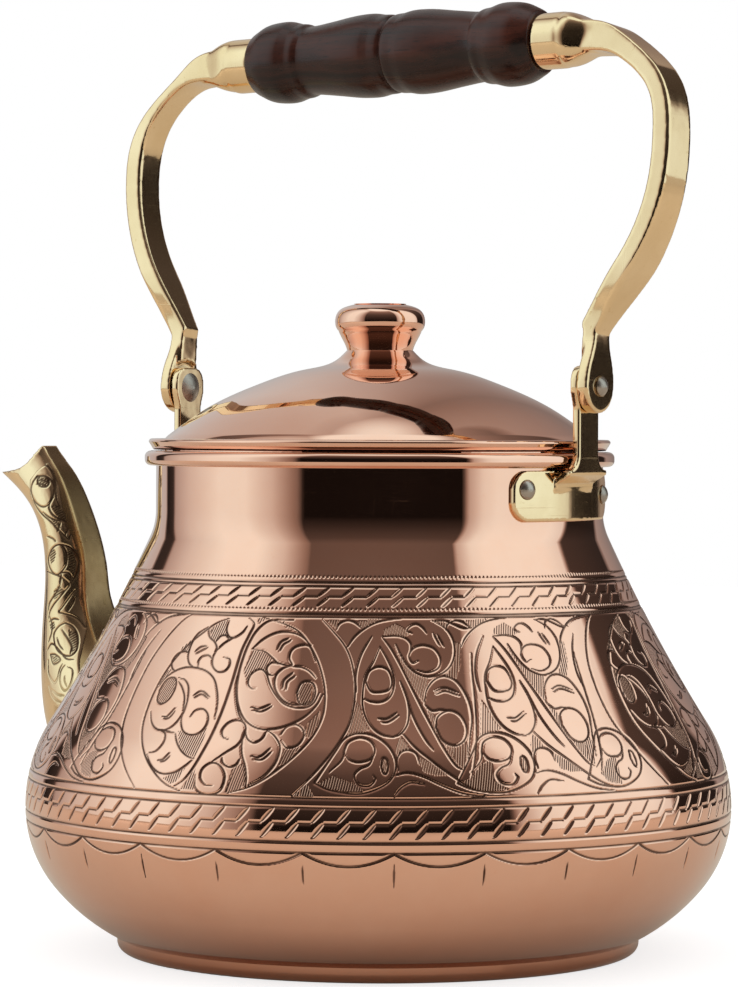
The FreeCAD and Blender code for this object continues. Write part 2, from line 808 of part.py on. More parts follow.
def knob_washer():
    top = crown_height - lid_sheet
    disc = rod(washer_radius, washer_thickness, up * (top - washer_thickness), up)
    return disc.cut(rod(screw_radius + running_gap, knob_height, up * (top - knob_height / 2), up))


def knob_screw():
    """A pan-headed screw from inside the lid into the knob."""
    seat = crown_height - lid_sheet - washer_thickness
    shank = rod(screw_radius, crown_height + screw_grip - seat, up * seat, up)
    head = rod(screw_head_radius, screw_head_height, up * (seat - screw_head_height), up)
    return shank.fuse(head).removeSplitter()


def pieces():
    """Every piece of the teapot by name."""
    rear_bracket, rear_pin, rivet_holes = bracket(), hinge_pin(), bracket_rivet_holes()
    made = {
        "body_shell": body_shell(),
        "base_plate": base_plate(),
        "spout": spout(),
        "rear_bracket": rear_bracket.cut(rivet_holes),
        "front_bracket": both_sides(rear_bracket).cut(rivet_holes),
        "rear_hinge_pin": rear_pin,
        "front_hinge_pin": both_sides(rear_pin),
        "rear_arm": leaned(arm(rear_bend)),
        "front_arm": leaned(both_sides(arm(front_bend))),
        "handle_grip": leaned(held(grip())),
        "handle_rod": leaned(held(grip_rod())),
        "lid_dome": lid_dome(),
        "lid_collar": lid_collar(),
        "lid_knob": knob(),
        "knob_washer": knob_washer(),
        "knob_screw": knob_screw(),
    }
    for name, (turn, height) in rivet_places().items():
        made[name] = rivet(turn, height)
    return made


os.makedirs("parts", exist_ok=True)
for name, shape in pieces().items():
    if not shape.isValid() or len(shape.Solids) != 1:
        print("not one good solid:", name, shape.isValid(), len(shape.Solids))
    box = shape.BoundBox
    print(name, round(shape.Volume), "mm3", round(box.ZMin, 1), "to", round(box.ZMax, 1))
    shape.exportStep(os.path.join("parts", name + ".step"))
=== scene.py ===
"""Engraved copper teapot with a brass spout and a hinged handle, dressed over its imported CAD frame."""

import math

import bmesh
import bpy
import numpy as np
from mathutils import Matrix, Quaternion, Vector
from mathutils.bvhtree import BVHTree


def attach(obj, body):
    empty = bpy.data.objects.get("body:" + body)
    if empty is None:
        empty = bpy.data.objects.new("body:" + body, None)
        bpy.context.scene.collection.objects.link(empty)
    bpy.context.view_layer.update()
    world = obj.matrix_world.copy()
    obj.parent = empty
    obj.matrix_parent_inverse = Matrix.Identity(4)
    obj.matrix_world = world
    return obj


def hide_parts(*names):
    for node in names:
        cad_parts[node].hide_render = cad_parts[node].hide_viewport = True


bl_info = {
    "name": "Engraved copper teapot",
    "version": (1, 0, 0),
    "blender": (4, 5, 0),
    "location": "View3D > Sidebar > Teapot",
    "description": "Builds the teapot's engraved body, carved spout, handle, lid and studio",
    "category": "Add Mesh",
}

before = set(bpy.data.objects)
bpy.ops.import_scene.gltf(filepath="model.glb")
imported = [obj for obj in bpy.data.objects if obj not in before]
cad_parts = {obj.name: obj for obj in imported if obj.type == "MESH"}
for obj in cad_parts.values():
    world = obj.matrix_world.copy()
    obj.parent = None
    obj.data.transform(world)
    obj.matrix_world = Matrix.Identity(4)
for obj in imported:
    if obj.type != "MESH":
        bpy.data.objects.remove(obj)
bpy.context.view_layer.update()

MM = 0.001


# Settings

def length(name, description, millimetres):
    return bpy.props.FloatProperty(name=name, description=description, default=millimetres * MM,
                                   unit="LENGTH", precision=5)


def colour(name, description, red, green, blue):
    return bpy.props.FloatVectorProperty(name=name, description=description, size=4, min=0, max=1,
                                         default=(red, green, blue, 1), subtype="COLOR")


class TeapotEngraving(bpy.types.PropertyGroup):
    line_width: length("Line width", "Width of a cut line", 0.8)
    line_depth: length("Line depth", "Depth of a cut line", 0.2)
    stroke_depth: length("Stroke depth", "Depth of the border's slanting cuts", 0.32)
    scallop_depth: length("Scallop depth", "Depth of the hanging scallops' cut", 0.2)
    step: length("Fineness", "Distance between the points that carry the engraving", 0.27)
    scallops: bpy.props.IntProperty(name="Scallops", description="Hanging scallops round the belly",
                                    default=26, min=8)
    lower_strokes: bpy.props.IntProperty(name="Lower strokes", default=92, min=12,
                                         description="Slanting cuts round the lower border")
    upper_strokes: bpy.props.IntProperty(name="Upper strokes", default=68, min=12,
                                         description="Slanting cuts round the upper border")
    beads: bpy.props.IntProperty(name="Beads", default=380, min=12,
                                 description="Short punch marks round each beaded line")


class TeapotFinishes(bpy.types.PropertyGroup):
    copper: colour("Copper", "Polished copper", 0.94, 0.54, 0.38)
    copper_deep: colour("Deep copper", "Redder patches of the copper", 0.9, 0.47, 0.31)
    patina: colour("Patina", "Dark brown left in the cut lines", 0.055, 0.022, 0.014)
    brass: colour("Brass", "Polished yellow brass", 0.94, 0.71, 0.43)
    brass_deep: colour("Dull brass", "Brass in hollows and under fingers", 0.72, 0.49, 0.24)
    wood: colour("Dark wood", "Ground colour of the grip", 0.01, 0.004, 0.003)
    wood_streak: colour("Red wood", "Reddish streaks of the grip", 0.06, 0.014, 0.007)
    steel: colour("Steel", "Rivets, pins, rod and screw", 0.5, 0.44, 0.38)


class TeapotStudio(bpy.types.PropertyGroup):
    turn: bpy.props.FloatProperty(name="Camera turn", description="Direction of the camera round the pot",
                                  default=math.radians(-56), subtype="ANGLE")
    distance: length("Camera distance", "From the pot's axis to the camera", 1000.8)
    height: length("Camera height", "Height of the camera", 134.3)
    box_light: bpy.props.FloatProperty(name="Soft boxes", description="Brightness of the soft boxes",
                                       default=1.05, min=0)


settings_groups = (("teapot_engraving", TeapotEngraving), ("teapot_finishes", TeapotFinishes),
                   ("teapot_studio", TeapotStudio))


# The pot's side, from the same sizes as the CAD

def arc_points(centre, radius, first, last):
    """Points of an arc in the (radius, height) plane, the short way round."""
    turn = (last - first + math.pi) % (2 * math.pi) - math.pi
    count = max(8, int(abs(turn) * radius / 0.1))
    angles = first + turn * np.linspace(0, 1, count)
    return np.column_stack((centre[0] + radius * np.cos(angles), centre[1] + radius * np.sin(angles)))


def pot_side():
    """Radius, height, run from height 24 mm, and outward normal along the pot's outside, in mm."""
    under_radius, low_radius, top_radius, shoulder_radius = 50.7, 31.8, 40.0, 400.0
    neck, neck_foot, neck_head, neck_fillet = 57.0, 112.0, 123.4, 16.0
    skirt, skirt_foot, run_start = 65.6, 1.8, 24.0
    top, low = np.array((50.0, 37.0)), np.array((58.2, 37.0))
    fillet = np.array((neck + neck_fillet, neck_foot))
    low_turn = math.radians(-40)
    under = low - (under_radius - low_radius) * np.array((math.cos(low_turn), math.sin(low_turn)))
    to_top, to_fillet = shoulder_radius + top_radius, shoulder_radius - neck_fillet
    apart = np.linalg.norm(fillet - top)
    along = (to_top ** 2 - to_fillet ** 2 + apart ** 2) / (2 * apart)
    aside = math.sqrt(to_top ** 2 - along ** 2)
    way = (fillet - top) / apart
    shoulder = top + way * along + np.array((way[1], -way[0])) * aside
    fillet_turn = math.atan2(*(fillet - shoulder)[::-1])
    top_turn = math.atan2(*(top - shoulder)[::-1])
    skirt_turn = -math.acos((skirt - under[0]) / under_radius)
    skirt_top = under + under_radius * np.array((math.cos(skirt_turn), math.sin(skirt_turn)))
    runs = [
        np.array(((skirt, skirt_foot), skirt_top)),
        arc_points(under, under_radius, skirt_turn, low_turn),
        arc_points(low, low_radius, low_turn, 0),
        arc_points(top, top_radius, 0, top_turn + math.pi),
        arc_points(shoulder, shoulder_radius, top_turn, fillet_turn),
        arc_points(fillet, neck_fillet, fillet_turn, math.pi),
        np.array(((neck, neck_foot), (neck, neck_head))),
    ]
    points = np.vstack(runs)
    run = np.concatenate(((0,), np.cumsum(np.linalg.norm(np.diff(points, axis=0), axis=1))))
    even = np.arange(0, run[-1], 0.05)
    keep = np.concatenate(((True,), np.diff(run) > 1e-6))
    across = np.interp(even, run[keep], points[keep, 0])
    height = np.interp(even, run[keep], points[keep, 1])
    tangent = np.column_stack((np.gradient(across), np.gradient(height)))
    tangent /= np.linalg.norm(tangent, axis=1, keepdims=True)
    start = np.interp(run_start, height, even)
    return {"run": even - start, "across": across, "height": height,
            "normal": np.column_stack((tangent[:, 1], -tangent[:, 0]))}


side = pot_side()


def along_side(key, run):
    return np.interp(run, side["run"], side[key])


# The engraving, in degrees round the pot from the camera's side and mm up its side

band_foot, band_top = 1.0, 82.0
stroke_lean = 0.46  # how far a slanting cut runs sideways, as a share of its row's pitch
hatch_pitch = 0.6


def curves(*rows):
    """Curves from rows of numbers: x and y in turn."""
    return [np.array(row, float).reshape(-1, 2) for row in rows]


# The leaf scrolls, from the camera's side: open curves of (turn, run) points, and hatched grounds.
medallion_cuts = curves(
    (-42.4, 70, -44.4, 68.4, -46.4, 65.5, -48.2, 61.5, -49.5, 56.8, -50, 51.7, -50, 46.7, -49.5, 41.6,
     -48.4, 37.2, -46.4, 32.2, -44, 27.8, -41.1, 23.6),
    (-32.4, 69.1, -35.2, 67.7, -38.2, 64.8, -40.8, 61.5, -43, 57.2, -44.4, 51.7, -44.7, 45.9, -44.1, 40.1,
     -42.4, 35.1, -40, 30.7, -37.2, 27.1, -34.8, 24.9, -32, 23.6),
    (-24.6, 69.7, -19.4, 68, -16.2, 66.1, -13.8, 63, -11.8, 59, -10.4, 54.6, -9.6, 50.3, -9.4, 45.9,
     -9.8, 42.3, -10.8, 38.7, -12.4, 35.1, -14.6, 31.4, -17.4, 27.8, -20.2, 25.3, -23.4, 23.8),
    (-11.6, 69.3, -9.4, 66.6, -7, 63.2, -5.5, 59.7, -4.6, 55.4, -4.2, 51, -4.3, 46.7, -4.8, 42.3, -5.8, 38.7,
     -7.4, 34.3, -9.4, 30, -11.4, 26.4, -13.2, 23.6),
    (-27.6, 69.4, -26.1, 67.7, -26.6, 64.8, -27.4, 60.4, -27.6, 53.2, -27.8, 47.4, -28.2, 41.6, -28.9, 35.8,
     -30, 30.4, -31.4, 26.7, -33.2, 24.6),
    (-17.6, 69, -21, 69.1, -23.4, 68.3, -25.2, 65.9, -26.2, 62.6, -26.7, 58.3, -26.7, 53.9, -26.2, 49.9,
     -25.2, 46.3, -23.6, 43, -21.6, 40.9, -19.4, 40.1, -17, 40.4, -14.6, 41.7, -12.4, 43.9, -10.8, 46.7,
     -9.9, 49.6),
    (-26.9, 53.9, -26.6, 51, -25.8, 47.4, -24.6, 43.8, -23.6, 42.3),
    (-37, 66.6, -39, 64.8, -39.9, 62.2, -39.8, 59, -38.8, 56.8, -37.2, 55.7),
    (-37, 66.6, -36, 64.1, -34.4, 62.8, -33.3, 61.2, -33.4, 60),
    (-38.3, 59.9, -37.2, 61.3, -35.8, 61.6),
    (-37.9, 59.4, -36.6, 60.4, -35.5, 61.2),
    (-36.3, 56.1, -36.6, 57.5, -36, 58.8, -34.7, 59.1, -33.5, 58.1),
    (-32.3, 68.6, -32.3, 66.1, -31.2, 64.3, -29.8, 64.1, -28.3, 65.4, -27.6, 67.1),
    (-33.1, 60.6, -31.8, 62.5, -30, 64.1),
    (-34, 62.8, -33.3, 64.3, -32.2, 64.6, -31.1, 63.6),
    (-33.1, 60.7, -33.5, 58.3, -32.9, 56.2, -31.4, 54.9, -29.8, 55.2, -29.2, 56.8, -29.7, 58.4, -31, 58.7),
    (-41.3, 54.4, -42.6, 55.2, -43.3, 57, -42.6, 59.1, -41, 59.9, -39.8, 59.3),
    (-44.1, 50.1, -43.3, 52.5, -41.6, 54.5, -39.2, 55.7, -36.6, 55.7, -34, 54.9, -31.8, 53, -30.4, 50.1,
     -29.4, 46.5, -29, 42.3),
    (-40, 52.8, -38.3, 52.3, -36.8, 50.3, -36, 46.7, -36, 43, -37, 40.1, -38.7, 38.7, -40.7, 39, -42.3, 40.7,
     -43.5, 43.4),
    (-39.8, 51.9, -38.2, 50.1, -36.8, 47.4, -36.1, 43.8),
    (-43.5, 49.2, -43, 51.7, -41.7, 52.8, -40.4, 52.1, -39.9, 49.6, -40.4, 46.8, -41.8, 45.6, -43.1, 46.5,
     -43.5, 49.2),
    (-40.3, 42.3, -39.1, 42.5, -38, 44.9),
    (-39.9, 41.7, -38.6, 42.1, -37.9, 43.9),
    (-35, 48.3, -33.5, 49.6, -31.4, 48.1),
    (-34.6, 47.7, -33.4, 48.8, -31.7, 47.7),
    (-34.1, 42.6, -33.5, 44.3, -32.1, 44.9, -30.7, 43.5, -30.2, 41, -31, 38.6, -32.8, 37.9, -34.6, 38.8,
     -35.8, 41.6, -36, 44.5),
    (-36, 38.1, -35, 35.7, -33.5, 33.5, -32, 32.2, -30.6, 31.7),
    (-40.4, 32.2, -38.5, 29.1, -36.2, 27.5, -33.7, 28, -32, 29.6, -30.8, 31.4),
    (-40, 32.5, -38.5, 33.2, -37.7, 35.4, -38.1, 37.7, -39.4, 38.7, -37.6, 38.4, -36, 38.1),
    (-37.6, 30.7, -36.5, 31.2, -35.6, 33),
    (-37.1, 30.3, -36.1, 30.9, -35.4, 32.2),
    (-25.2, 61.2, -23.2, 63.9, -20.6, 65.6, -17.8, 65.8, -15.4, 64.8, -13.2, 62.5),
    (-25.2, 61.2, -22.6, 60.7, -20.6, 59, -19.2, 57.7, -16.5, 57.1, -17.2, 59, -17, 61, -15.8, 62.2,
     -13.6, 62.2, -12, 58.3),
    (-20, 61.2, -19.4, 63.2, -18, 64.1),
    (-19.4, 60.8, -18.8, 62.6, -17.5, 63.6),
    (-22.6, 50.8, -23.6, 50.9, -24.4, 52.1, -24.4, 54.1, -23.5, 55.5, -22.3, 55.9, -21.1, 54.6, -20, 51.9,
     -18.5, 49.2, -16.7, 47, -14.5, 46, -12.5, 46.2, -11.3, 47.5, -10.6, 49.9),
    (-19.4, 54.3, -20.8, 54.8, -21.3, 56.4, -20.6, 57.7, -19.2, 57.5),
    (-16.5, 57.1, -18.1, 56.2, -19.2, 54.3, -19, 51.4, -17.7, 48.8, -16, 47.2, -13.8, 46.8, -12, 47.8),
    (-16.5, 56.8, -14.6, 56.7, -12.9, 55.7, -11.5, 53.8),
    (-14.7, 49.9, -14.2, 52.3, -13, 53, -11.8, 52.3, -11.3, 49.9, -11.8, 47.5, -13, 46.8, -14.1, 47.5,
     -14.7, 49.9),
    (-17.5, 50.9, -17.4, 53.2, -16, 55.1),
    (-16.8, 50.6, -16.7, 52.8, -15.5, 54.2),
    (-22.6, 45.9, -21, 45.5, -19.1, 46.7),
    (-22.2, 45.1, -20.5, 44.8, -18.8, 46.2),
    (-22.7, 40.5, -22.8, 37.2, -22.3, 33.6, -21.3, 30.4, -20.8, 27.5, -20.7, 25.3),
    (-18.8, 39.9, -17.2, 38.3, -16, 35.4, -16.3, 31.4, -18, 27.8, -20.4, 25.7),
    (-22.6, 39.4, -21.9, 37.4, -20.5, 36.5, -19.3, 37.7, -18.8, 39.9),
    (-20.6, 33, -19, 32.9, -17.6, 35.1),
    (-20.1, 32.2, -18.6, 32.2, -17.3, 34.1),
    (-16.3, 38.7, -15.5, 40.9, -14, 41.6, -12.7, 40.4, -12.4, 38.1, -13.3, 35.9, -14.9, 35.4, -16, 37.1),
    (-25.3, 37.1, -26.5, 37.8, -26.9, 39.6, -26, 41.6, -24.4, 42.3, -23, 41.2, -22.6, 38.8, -23.3, 35.8,
     -25.2, 33.5, -27, 31.3),
    (-26.3, 25.2, -27.7, 25.5, -28.7, 27.2, -28.5, 29.4, -27.1, 30.9, -25.5, 30.1, -24.4, 27.7, -24.7, 24.6,
     -26, 23.3, -28, 23.3, -29.4, 24.9, -29.6, 27.8),
    (-25.6, 32.5, -25.2, 30.9, -23.9, 30, -22.8, 30.6, -22.4, 32),
)
medallion_grounds = curves(
    (-36.4, 66.1, -34, 68, -32.3, 68.7, -32.2, 65.9, -31.4, 64.1, -33.2, 64.4, -34, 62.8, -35.4, 63.6),
    (-43.5, 49.2, -43, 51.7, -41.7, 52.8, -40.4, 52.1, -39.9, 49.6, -40.4, 46.8, -41.8, 45.6, -43.1, 46.5),
    (-35.4, 38.7, -33, 37.8, -31, 38.3, -30, 40.1, -29.9, 35.8, -30.6, 32, -32.8, 32.9, -34.4, 35.1),
    (-42.4, 60.4, -40, 63.2, -39.8, 59.7, -41.6, 59.9),
    (-44.5, 51, -43.5, 54.6, -42.4, 54.9, -44, 50.3),
    (-35.6, 26.4, -33.6, 28, -31.8, 29.4, -32.8, 26, -34, 25.1),
    (-31.8, 24.2, -30, 29.3, -29.4, 24.2),
    (-25.6, 69.4, -23.4, 69.4, -25.2, 67.7),
    (-25.2, 60.8, -22.6, 60.6, -20.4, 58.6, -21.3, 57.2, -21.1, 55.4, -22.6, 55.9, -24, 54.8, -24.6, 52.5,
     -25.8, 55.4),
    (-14.7, 49.9, -14.2, 52.3, -13, 53, -11.8, 52.3, -11.3, 49.9, -11.8, 47.5, -13, 46.8, -14.1, 47.5),
    (-12.2, 41.6, -10, 45.6, -10, 42.3, -11.2, 38, -12.4, 38.7),
    (-15.2, 35.2, -13.4, 35.4, -12.6, 35.8, -14.2, 32.2, -15.8, 30.6),
    (-24, 23.8, -23.2, 30, -21.5, 31.1, -20.8, 27.8, -21, 25.5, -22.6, 24),
    (-19.8, 68.7, -17, 66.4, -19, 67.1),
    (-13.2, 23.6, -11, 26.4, -9.8, 23.6),
)
comma_cuts = curves(
    (-8.5, 66.7, -8, 68.2, -6.5, 69.1, -4.9, 68.6, -3.5, 67.1),
    (-6, 62.2, -4.9, 64.6, -3.1, 66.8, -1, 68.4, 1.5, 69.3, 4.6, 69.7),
    (-3.9, 50.3, -4.2, 53.9, -3.9, 57.5, -3, 61.2, -1.4, 64.9),
    (-9.8, 26.7, -8.2, 31, -6.8, 34.8, -5.7, 37.8, -4.1, 39.3, -2.1, 39.4, -0.1, 38.3, 1.6, 36, 2.6, 32.9,
     2.6, 29.9, 1.6, 27.2, -0.5, 25.3, -3, 24.3, -5.6, 24.6, -7.8, 25.3, -9.8, 26.7),
    (-7.6, 29.4, -5.8, 32.3, -5.4, 35.1, -4.8, 37.2, -3.1, 38.3, -1.4, 37.5, -0.6, 35.2, -1.2, 32.8, -3, 31.9,
     -4.6, 32.5, -5.4, 34.3),
    (-0.6, 34.3, -1.4, 31.4, -2.8, 30.3, -3.7, 28.6, -3, 26.5, -1.4, 26.2, -0.5, 27.7, -0.8, 28.7),
    (0.4, 31, 0.6, 32.8, 1, 33, 1.4, 32.2, 1.5, 30.4, 1.2, 29.1, 0.7, 29.4, 0.4, 31),
)
comma_grounds = curves(
    (-9.2, 26.7, -7, 28.6, -4.6, 27.1, -3.4, 26.7, -2.2, 24.9, -5.4, 24.8, -7.8, 25.5),
    (0.6, 31, 0.7, 32.6, 1.1, 32.9, 1.4, 31.8, 1.4, 30, 1, 29.3),
    (-10.6, 69, -8.2, 69.3, -8.5, 66.8),
    (-3.4, 67.1, -4.6, 69, 0.6, 69.7, -1, 68.6),
)
panel_cuts = curves(
    (0.2, 62.2, -1, 58.3, -2.4, 54.8, -2.8, 51, -2.8, 47, -2.1, 43.4, -0.9, 40.7, 0.7, 39, 2.4, 38.5),
    (0.2, 62.2, 1.5, 59.1, 2.5, 55.9, 2.8, 52.6, 2.1, 49.4, 0.6, 47.8, -1.3, 47.8, -2.8, 48.7),
    (-2.4, 53.2, -1.7, 55.9, 0, 57, 1.7, 56.1, 2.4, 53.2, 1.8, 51, 0.2, 50.3, -1.4, 50.6, -2.4, 53.2),
    (3.9, 53.2, 4.8, 49.6, 5.2, 45.6, 4.8, 41.9, 3.6, 39.4, 2.4, 38.5),
    (-0.1, 43.4, 1.4, 43.3, 3.1, 44.9),
    (0.4, 42.5, 1.6, 42.5, 3.4, 44.2),
    (0.6, 64.8, 2.4, 61.5, 4.2, 56.8, 5.9, 51.4, 7.5, 45.9, 9.1, 40.5, 10.6, 35.2, 12.1, 31.1, 13.3, 29.9),
    (4, 52.6, 5, 48.5, 5.7, 44.5, 6.7, 40.7, 7.8, 37.4, 8.8, 35.1),
    (4, 39.3, 5.9, 35.7, 7.9, 32.9, 10.2, 29.9, 12.7, 27.1, 15, 25.1, 17.4, 24.2),
    (2.6, 28.7, 4.6, 29.3, 7, 28.3, 9.8, 26.2, 13, 24.3, 16.6, 23.5),
    (2.4, 23.8, 3.4, 25.7, 5, 27, 7.1, 26.5),
    (3.1, 29.9, 2.9, 32.6, 3.6, 34.6, 4.8, 35.1, 6, 34.1, 6.4, 31.6),
    (11.4, 68.8, 13.5, 67, 14.7, 63.9, 14.6, 60.3, 13.4, 57.1, 11.4, 55.1, 9, 54.4, 6.9, 55.4, 5.3, 57.4,
     4.2, 60, 3.3, 62.8),
    (0.7, 64.9, 3.1, 65.2, 5.1, 64.6, 6.2, 62.9, 5.9, 60.7),
    (7.5, 58.6, 6.3, 58, 5.7, 59.9, 6.7, 61.9, 8.6, 62.6, 10.7, 61.7, 11.7, 59.1, 11.1, 56.7, 9, 55.5,
     7, 56.1),
    (9.5, 65.8, 8.8, 67.2, 7.6, 68.2, 6.3, 67.7, 5.6, 66.5, 6.6, 65.8),
    (10.8, 65.7, 11.9, 62.5),
    (11.6, 65.4, 12.7, 62.3),
    (8, 47, 8.5, 50.7, 10, 53.5, 12, 54.5, 13.9, 53.5, 15.2, 50.9, 16, 47.2, 16, 43, 15.2, 38.7, 14.2, 32.2),
    (9.6, 40.9, 10.1, 43.9, 12, 45.4, 13.9, 44.3, 14.8, 41, 14.2, 37.8, 12.4, 36.2, 10.5, 37.5, 9.6, 40.9),
    (8, 47, 9.2, 45.4, 10.6, 45.6, 12, 45.4),
    (10, 50.6, 11.9, 51.4, 14.3, 50.1),
    (10.2, 49.8, 12, 50.6, 14.4, 49.3),
    (14.4, 27.7, 15.3, 32.2, 16.2, 38, 16.8, 43.8, 17.2, 49.6, 17.5, 55.4, 17.9, 60.4),
    (10.8, 69.1, 13.4, 69.1, 15.4, 68, 17, 67.1, 18.8, 67.1),
)
panel_grounds = curves(
    (1, 66.8, 3.4, 68.4, 5.5, 66.8, 6.2, 65.7, 5, 64.9, 2.8, 65.4, 1, 65.4),
    (3, 62.6, 4.2, 59.9, 5.5, 57.1, 7, 55.2, 9.2, 54.3, 8.4, 51, 7.9, 47.4, 7, 49.6, 5.4, 53.9),
    (8.2, 46.5, 9.2, 45.1, 9.8, 43, 9.5, 39.4, 9, 41.6),
    (10.6, 37.2, 12.4, 35.9, 14.2, 37.6, 14.6, 35.8, 13.4, 30.1, 12.4, 31.4, 11.2, 34.3),
    (14.8, 63.7, 16.2, 62.8, 15.5, 57.5, 14.2, 53.8, 12.4, 54.8, 13.6, 56.8, 14.8, 60.1),
    (-4.8, 42, -4, 48.1, -3, 45.9, -2.4, 43, -1.4, 40.5, -3, 39.6, -5.2, 38.7),
    (2.8, 35.8, 3.6, 38.7, 4.6, 36.9, 5, 35.2, 3.6, 34.7, 3, 33.3),
    (6.5, 32.2, 6.4, 33.6, 9, 31.1, 11, 28.6, 9, 28.6, 7, 29.6),
    (14.4, 27.7, 16, 31.1, 18, 32.2, 18, 24.9, 15.4, 25.7),
)
# The spout's carved panel, seen from its side: (x, z) in mm.
spout_cuts = curves(
    (-113.1, 120.2, -109.1, 122.6, -107.8, 125.3, -107.2, 126.1),
    (-109.8, 118.6, -108.1, 120.7, -106.9, 122.1, -105.9, 122.6, -104.7, 122.1, -103.2, 120.5, -101.7, 117.8,
     -100.9, 115.4, -100.2, 113.3, -99, 111.2),
    (-106.9, 119.7, -108.3, 118, -108.9, 115.9, -108.1, 113.7, -106.4, 112.2, -104, 111.4, -102.2, 112.2,
     -101.4, 114.1, -101.6, 116.5, -102.9, 118.6, -104.8, 119.7, -106.9, 119.7),
    (-106.8, 119.1, -105.7, 119.7, -104.1, 119.2, -103.2, 117.8, -103.8, 116.8, -105.7, 117, -106.6, 118.1,
     -106.8, 119.1),
    (-106.7, 118.6, -105.1, 118.6, -103.6, 118.1),
    (-107.1, 117.5, -105.2, 117.5, -103.3, 117),
    (-101.1, 114.1, -101.7, 113, -102.1, 111.7, -101.3, 110.1, -100, 109, -98.3, 108.2, -97, 107.2,
     -96.1, 105.9, -95.7, 104.5, -95.7, 102.9),
    (-108.2, 113.2, -106.5, 111.1, -104, 109.2, -101, 107.4, -98.4, 105.3, -96.7, 103.7, -95.6, 102.7),
    (-104, 110, -101.8, 108.7, -99.6, 108, -98.2, 107.7),
    (-98.2, 107.4, -98.5, 106.1, -98.7, 105),
    (-97.2, 106.9, -96.5, 105.6, -96.7, 103.7),
    (-102.4, 103.6, -100.1, 102.9, -99.1, 102.1),
    (-101.6, 98.5, -100.4, 100.2, -98.7, 101.3, -97.2, 101.1, -96.1, 99.7, -95.7, 97.9, -95.8, 96,
     -96.8, 94.4, -98.3, 93.3, -100.1, 94, -101.5, 95.6, -102, 97.2, -101.6, 98.5),
    (-98.1, 101.6, -96.5, 101.3, -94.9, 100.5, -93.7, 98.7, -93.1, 96.5, -93.1, 94.4, -93.6, 92.6,
     -94.2, 91.2),
    (-97, 93.8, -95.9, 94.1, -94.9, 93.9, -94.3, 92.8, -94.5, 91.5),
    (-97, 93.8, -97, 92.2, -97.2, 91.2),
    (-102.6, 94.2, -99.7, 93.5, -97.6, 93, -95.8, 92, -94.6, 90.7, -95.6, 89.1, -97.1, 87.2, -98.7, 85.5,
     -100.1, 83.6, -100.7, 81.7),
    (-96.9, 91.4, -97.7, 89.3, -99.2, 87.4, -100.7, 85.5, -101, 83.8),
    (-93.2, 89.4, -94.4, 87.2, -95.7, 85.1, -96.8, 83.5, -95, 83, -93, 82.5, -91.1, 81.4, -89.2, 79.4),
    (-93, 87.5, -93.3, 85.9, -94.2, 83.8),
    (-94.6, 80.6, -96.3, 79.7, -97.8, 77.8, -97.5, 75.5, -96.1, 73.4, -93.7, 72.2, -91.3, 72, -89.8, 73.3,
     -89.8, 75.4, -90.7, 77.8, -92.5, 79.8, -94.6, 80.6),
    (-95.2, 78.7, -93.7, 77.2, -92.2, 75.6, -91.2, 74.1, -91.4, 72.5),
    (-96.6, 76.6, -95.5, 74.7, -93.9, 73.5),
    (-100.2, 73.2, -98.6, 74.9, -96.6, 74.2, -94.5, 72.7, -92.4, 71.2, -89.8, 71),
    (-98.7, 72, -97, 69.6, -94.4, 70.8, -96.6, 72.1, -98.7, 72),
    (-99.5, 70.6, -99.1, 67.4, -97.4, 65.4, -95.9, 64.7, -94.8, 66.1, -94.3, 68.2, -93.5, 69.8),
    (-92.4, 69.6, -93.6, 68.2, -93.9, 66.1, -93.2, 64, -91.4, 62.8, -89.8, 64.2, -89.2, 66.3, -89.7, 68.4,
     -91.6, 69.1),
    (-92.1, 66.7, -91.8, 65.2, -90.8, 63.9),
    (-98.7, 64, -97, 61.4, -94.9, 60.2, -92.3, 59.6),
    (-97.1, 62.7, -94.1, 61.6, -91.6, 61.5),
    (-100.4, 82.3, -98.9, 79.9, -99, 77.5, -100, 75.3),
    (-100.2, 80.7, -98.3, 81.6, -96.5, 81.3),
)
spout_grounds = curves(
    (-106.5, 119.1, -105.6, 119.4, -104, 118.9, -103.5, 117.8, -104.2, 117, -105.8, 117.3),
    (-101.6, 99.1, -99.7, 100.5, -98.9, 99.1, -99.5, 97, -100.7, 96.2),
    (-95.9, 100.3, -94.6, 99.7, -93.8, 97.9, -93.6, 95.7, -94.1, 93.9, -94.9, 94.4, -95.3, 96.8),
    (-99, 89.3, -97.4, 90.4, -95.6, 89.3, -97.8, 87.2, -99.2, 86.6),
    (-93.1, 78.8, -91.4, 78.3, -90, 76.2, -90, 74.1, -90.8, 72.5, -91.3, 74.6, -92.7, 76.7),
    (-98.2, 71.7, -96.7, 69.9, -94.8, 70.8, -96.5, 71.8),
    (-100.1, 80.1, -98.2, 81, -97.6, 79.2, -99, 78.1),
    (-101.5, 111.7, -98.9, 108.8, -97, 107.5, -98.1, 110.1, -99.4, 111.7),
    (-101.8, 108.7, -98.7, 107.4, -97.4, 105.3, -99.7, 106.6),
)
spout_panel, = curves(
    (-109.8, 118.6, -109.6, 114, -107.6, 109.5, -105.4, 104, -103.6, 99.5, -103, 94, -102.4, 84, -101.4, 72,
     -101.4, 60, -84, 56, -86, 64, -88, 71, -88.5, 79, -91.6, 87.5, -92.2, 96, -94.6, 103, -98.2, 111,
     -100.4, 117, -103.4, 122, -105.2, 123.6, -108, 121.4, -109.8, 118.6),
)

# Where each medallion stands round the pot; the leaf panels fill the gaps between them.
medallion_turns = (-93.6, 0.0, 93.6, 180.0)
medallion_width, filler_start, filler_width, panel_width = 45.6, -4.6, 48.0, 22.2


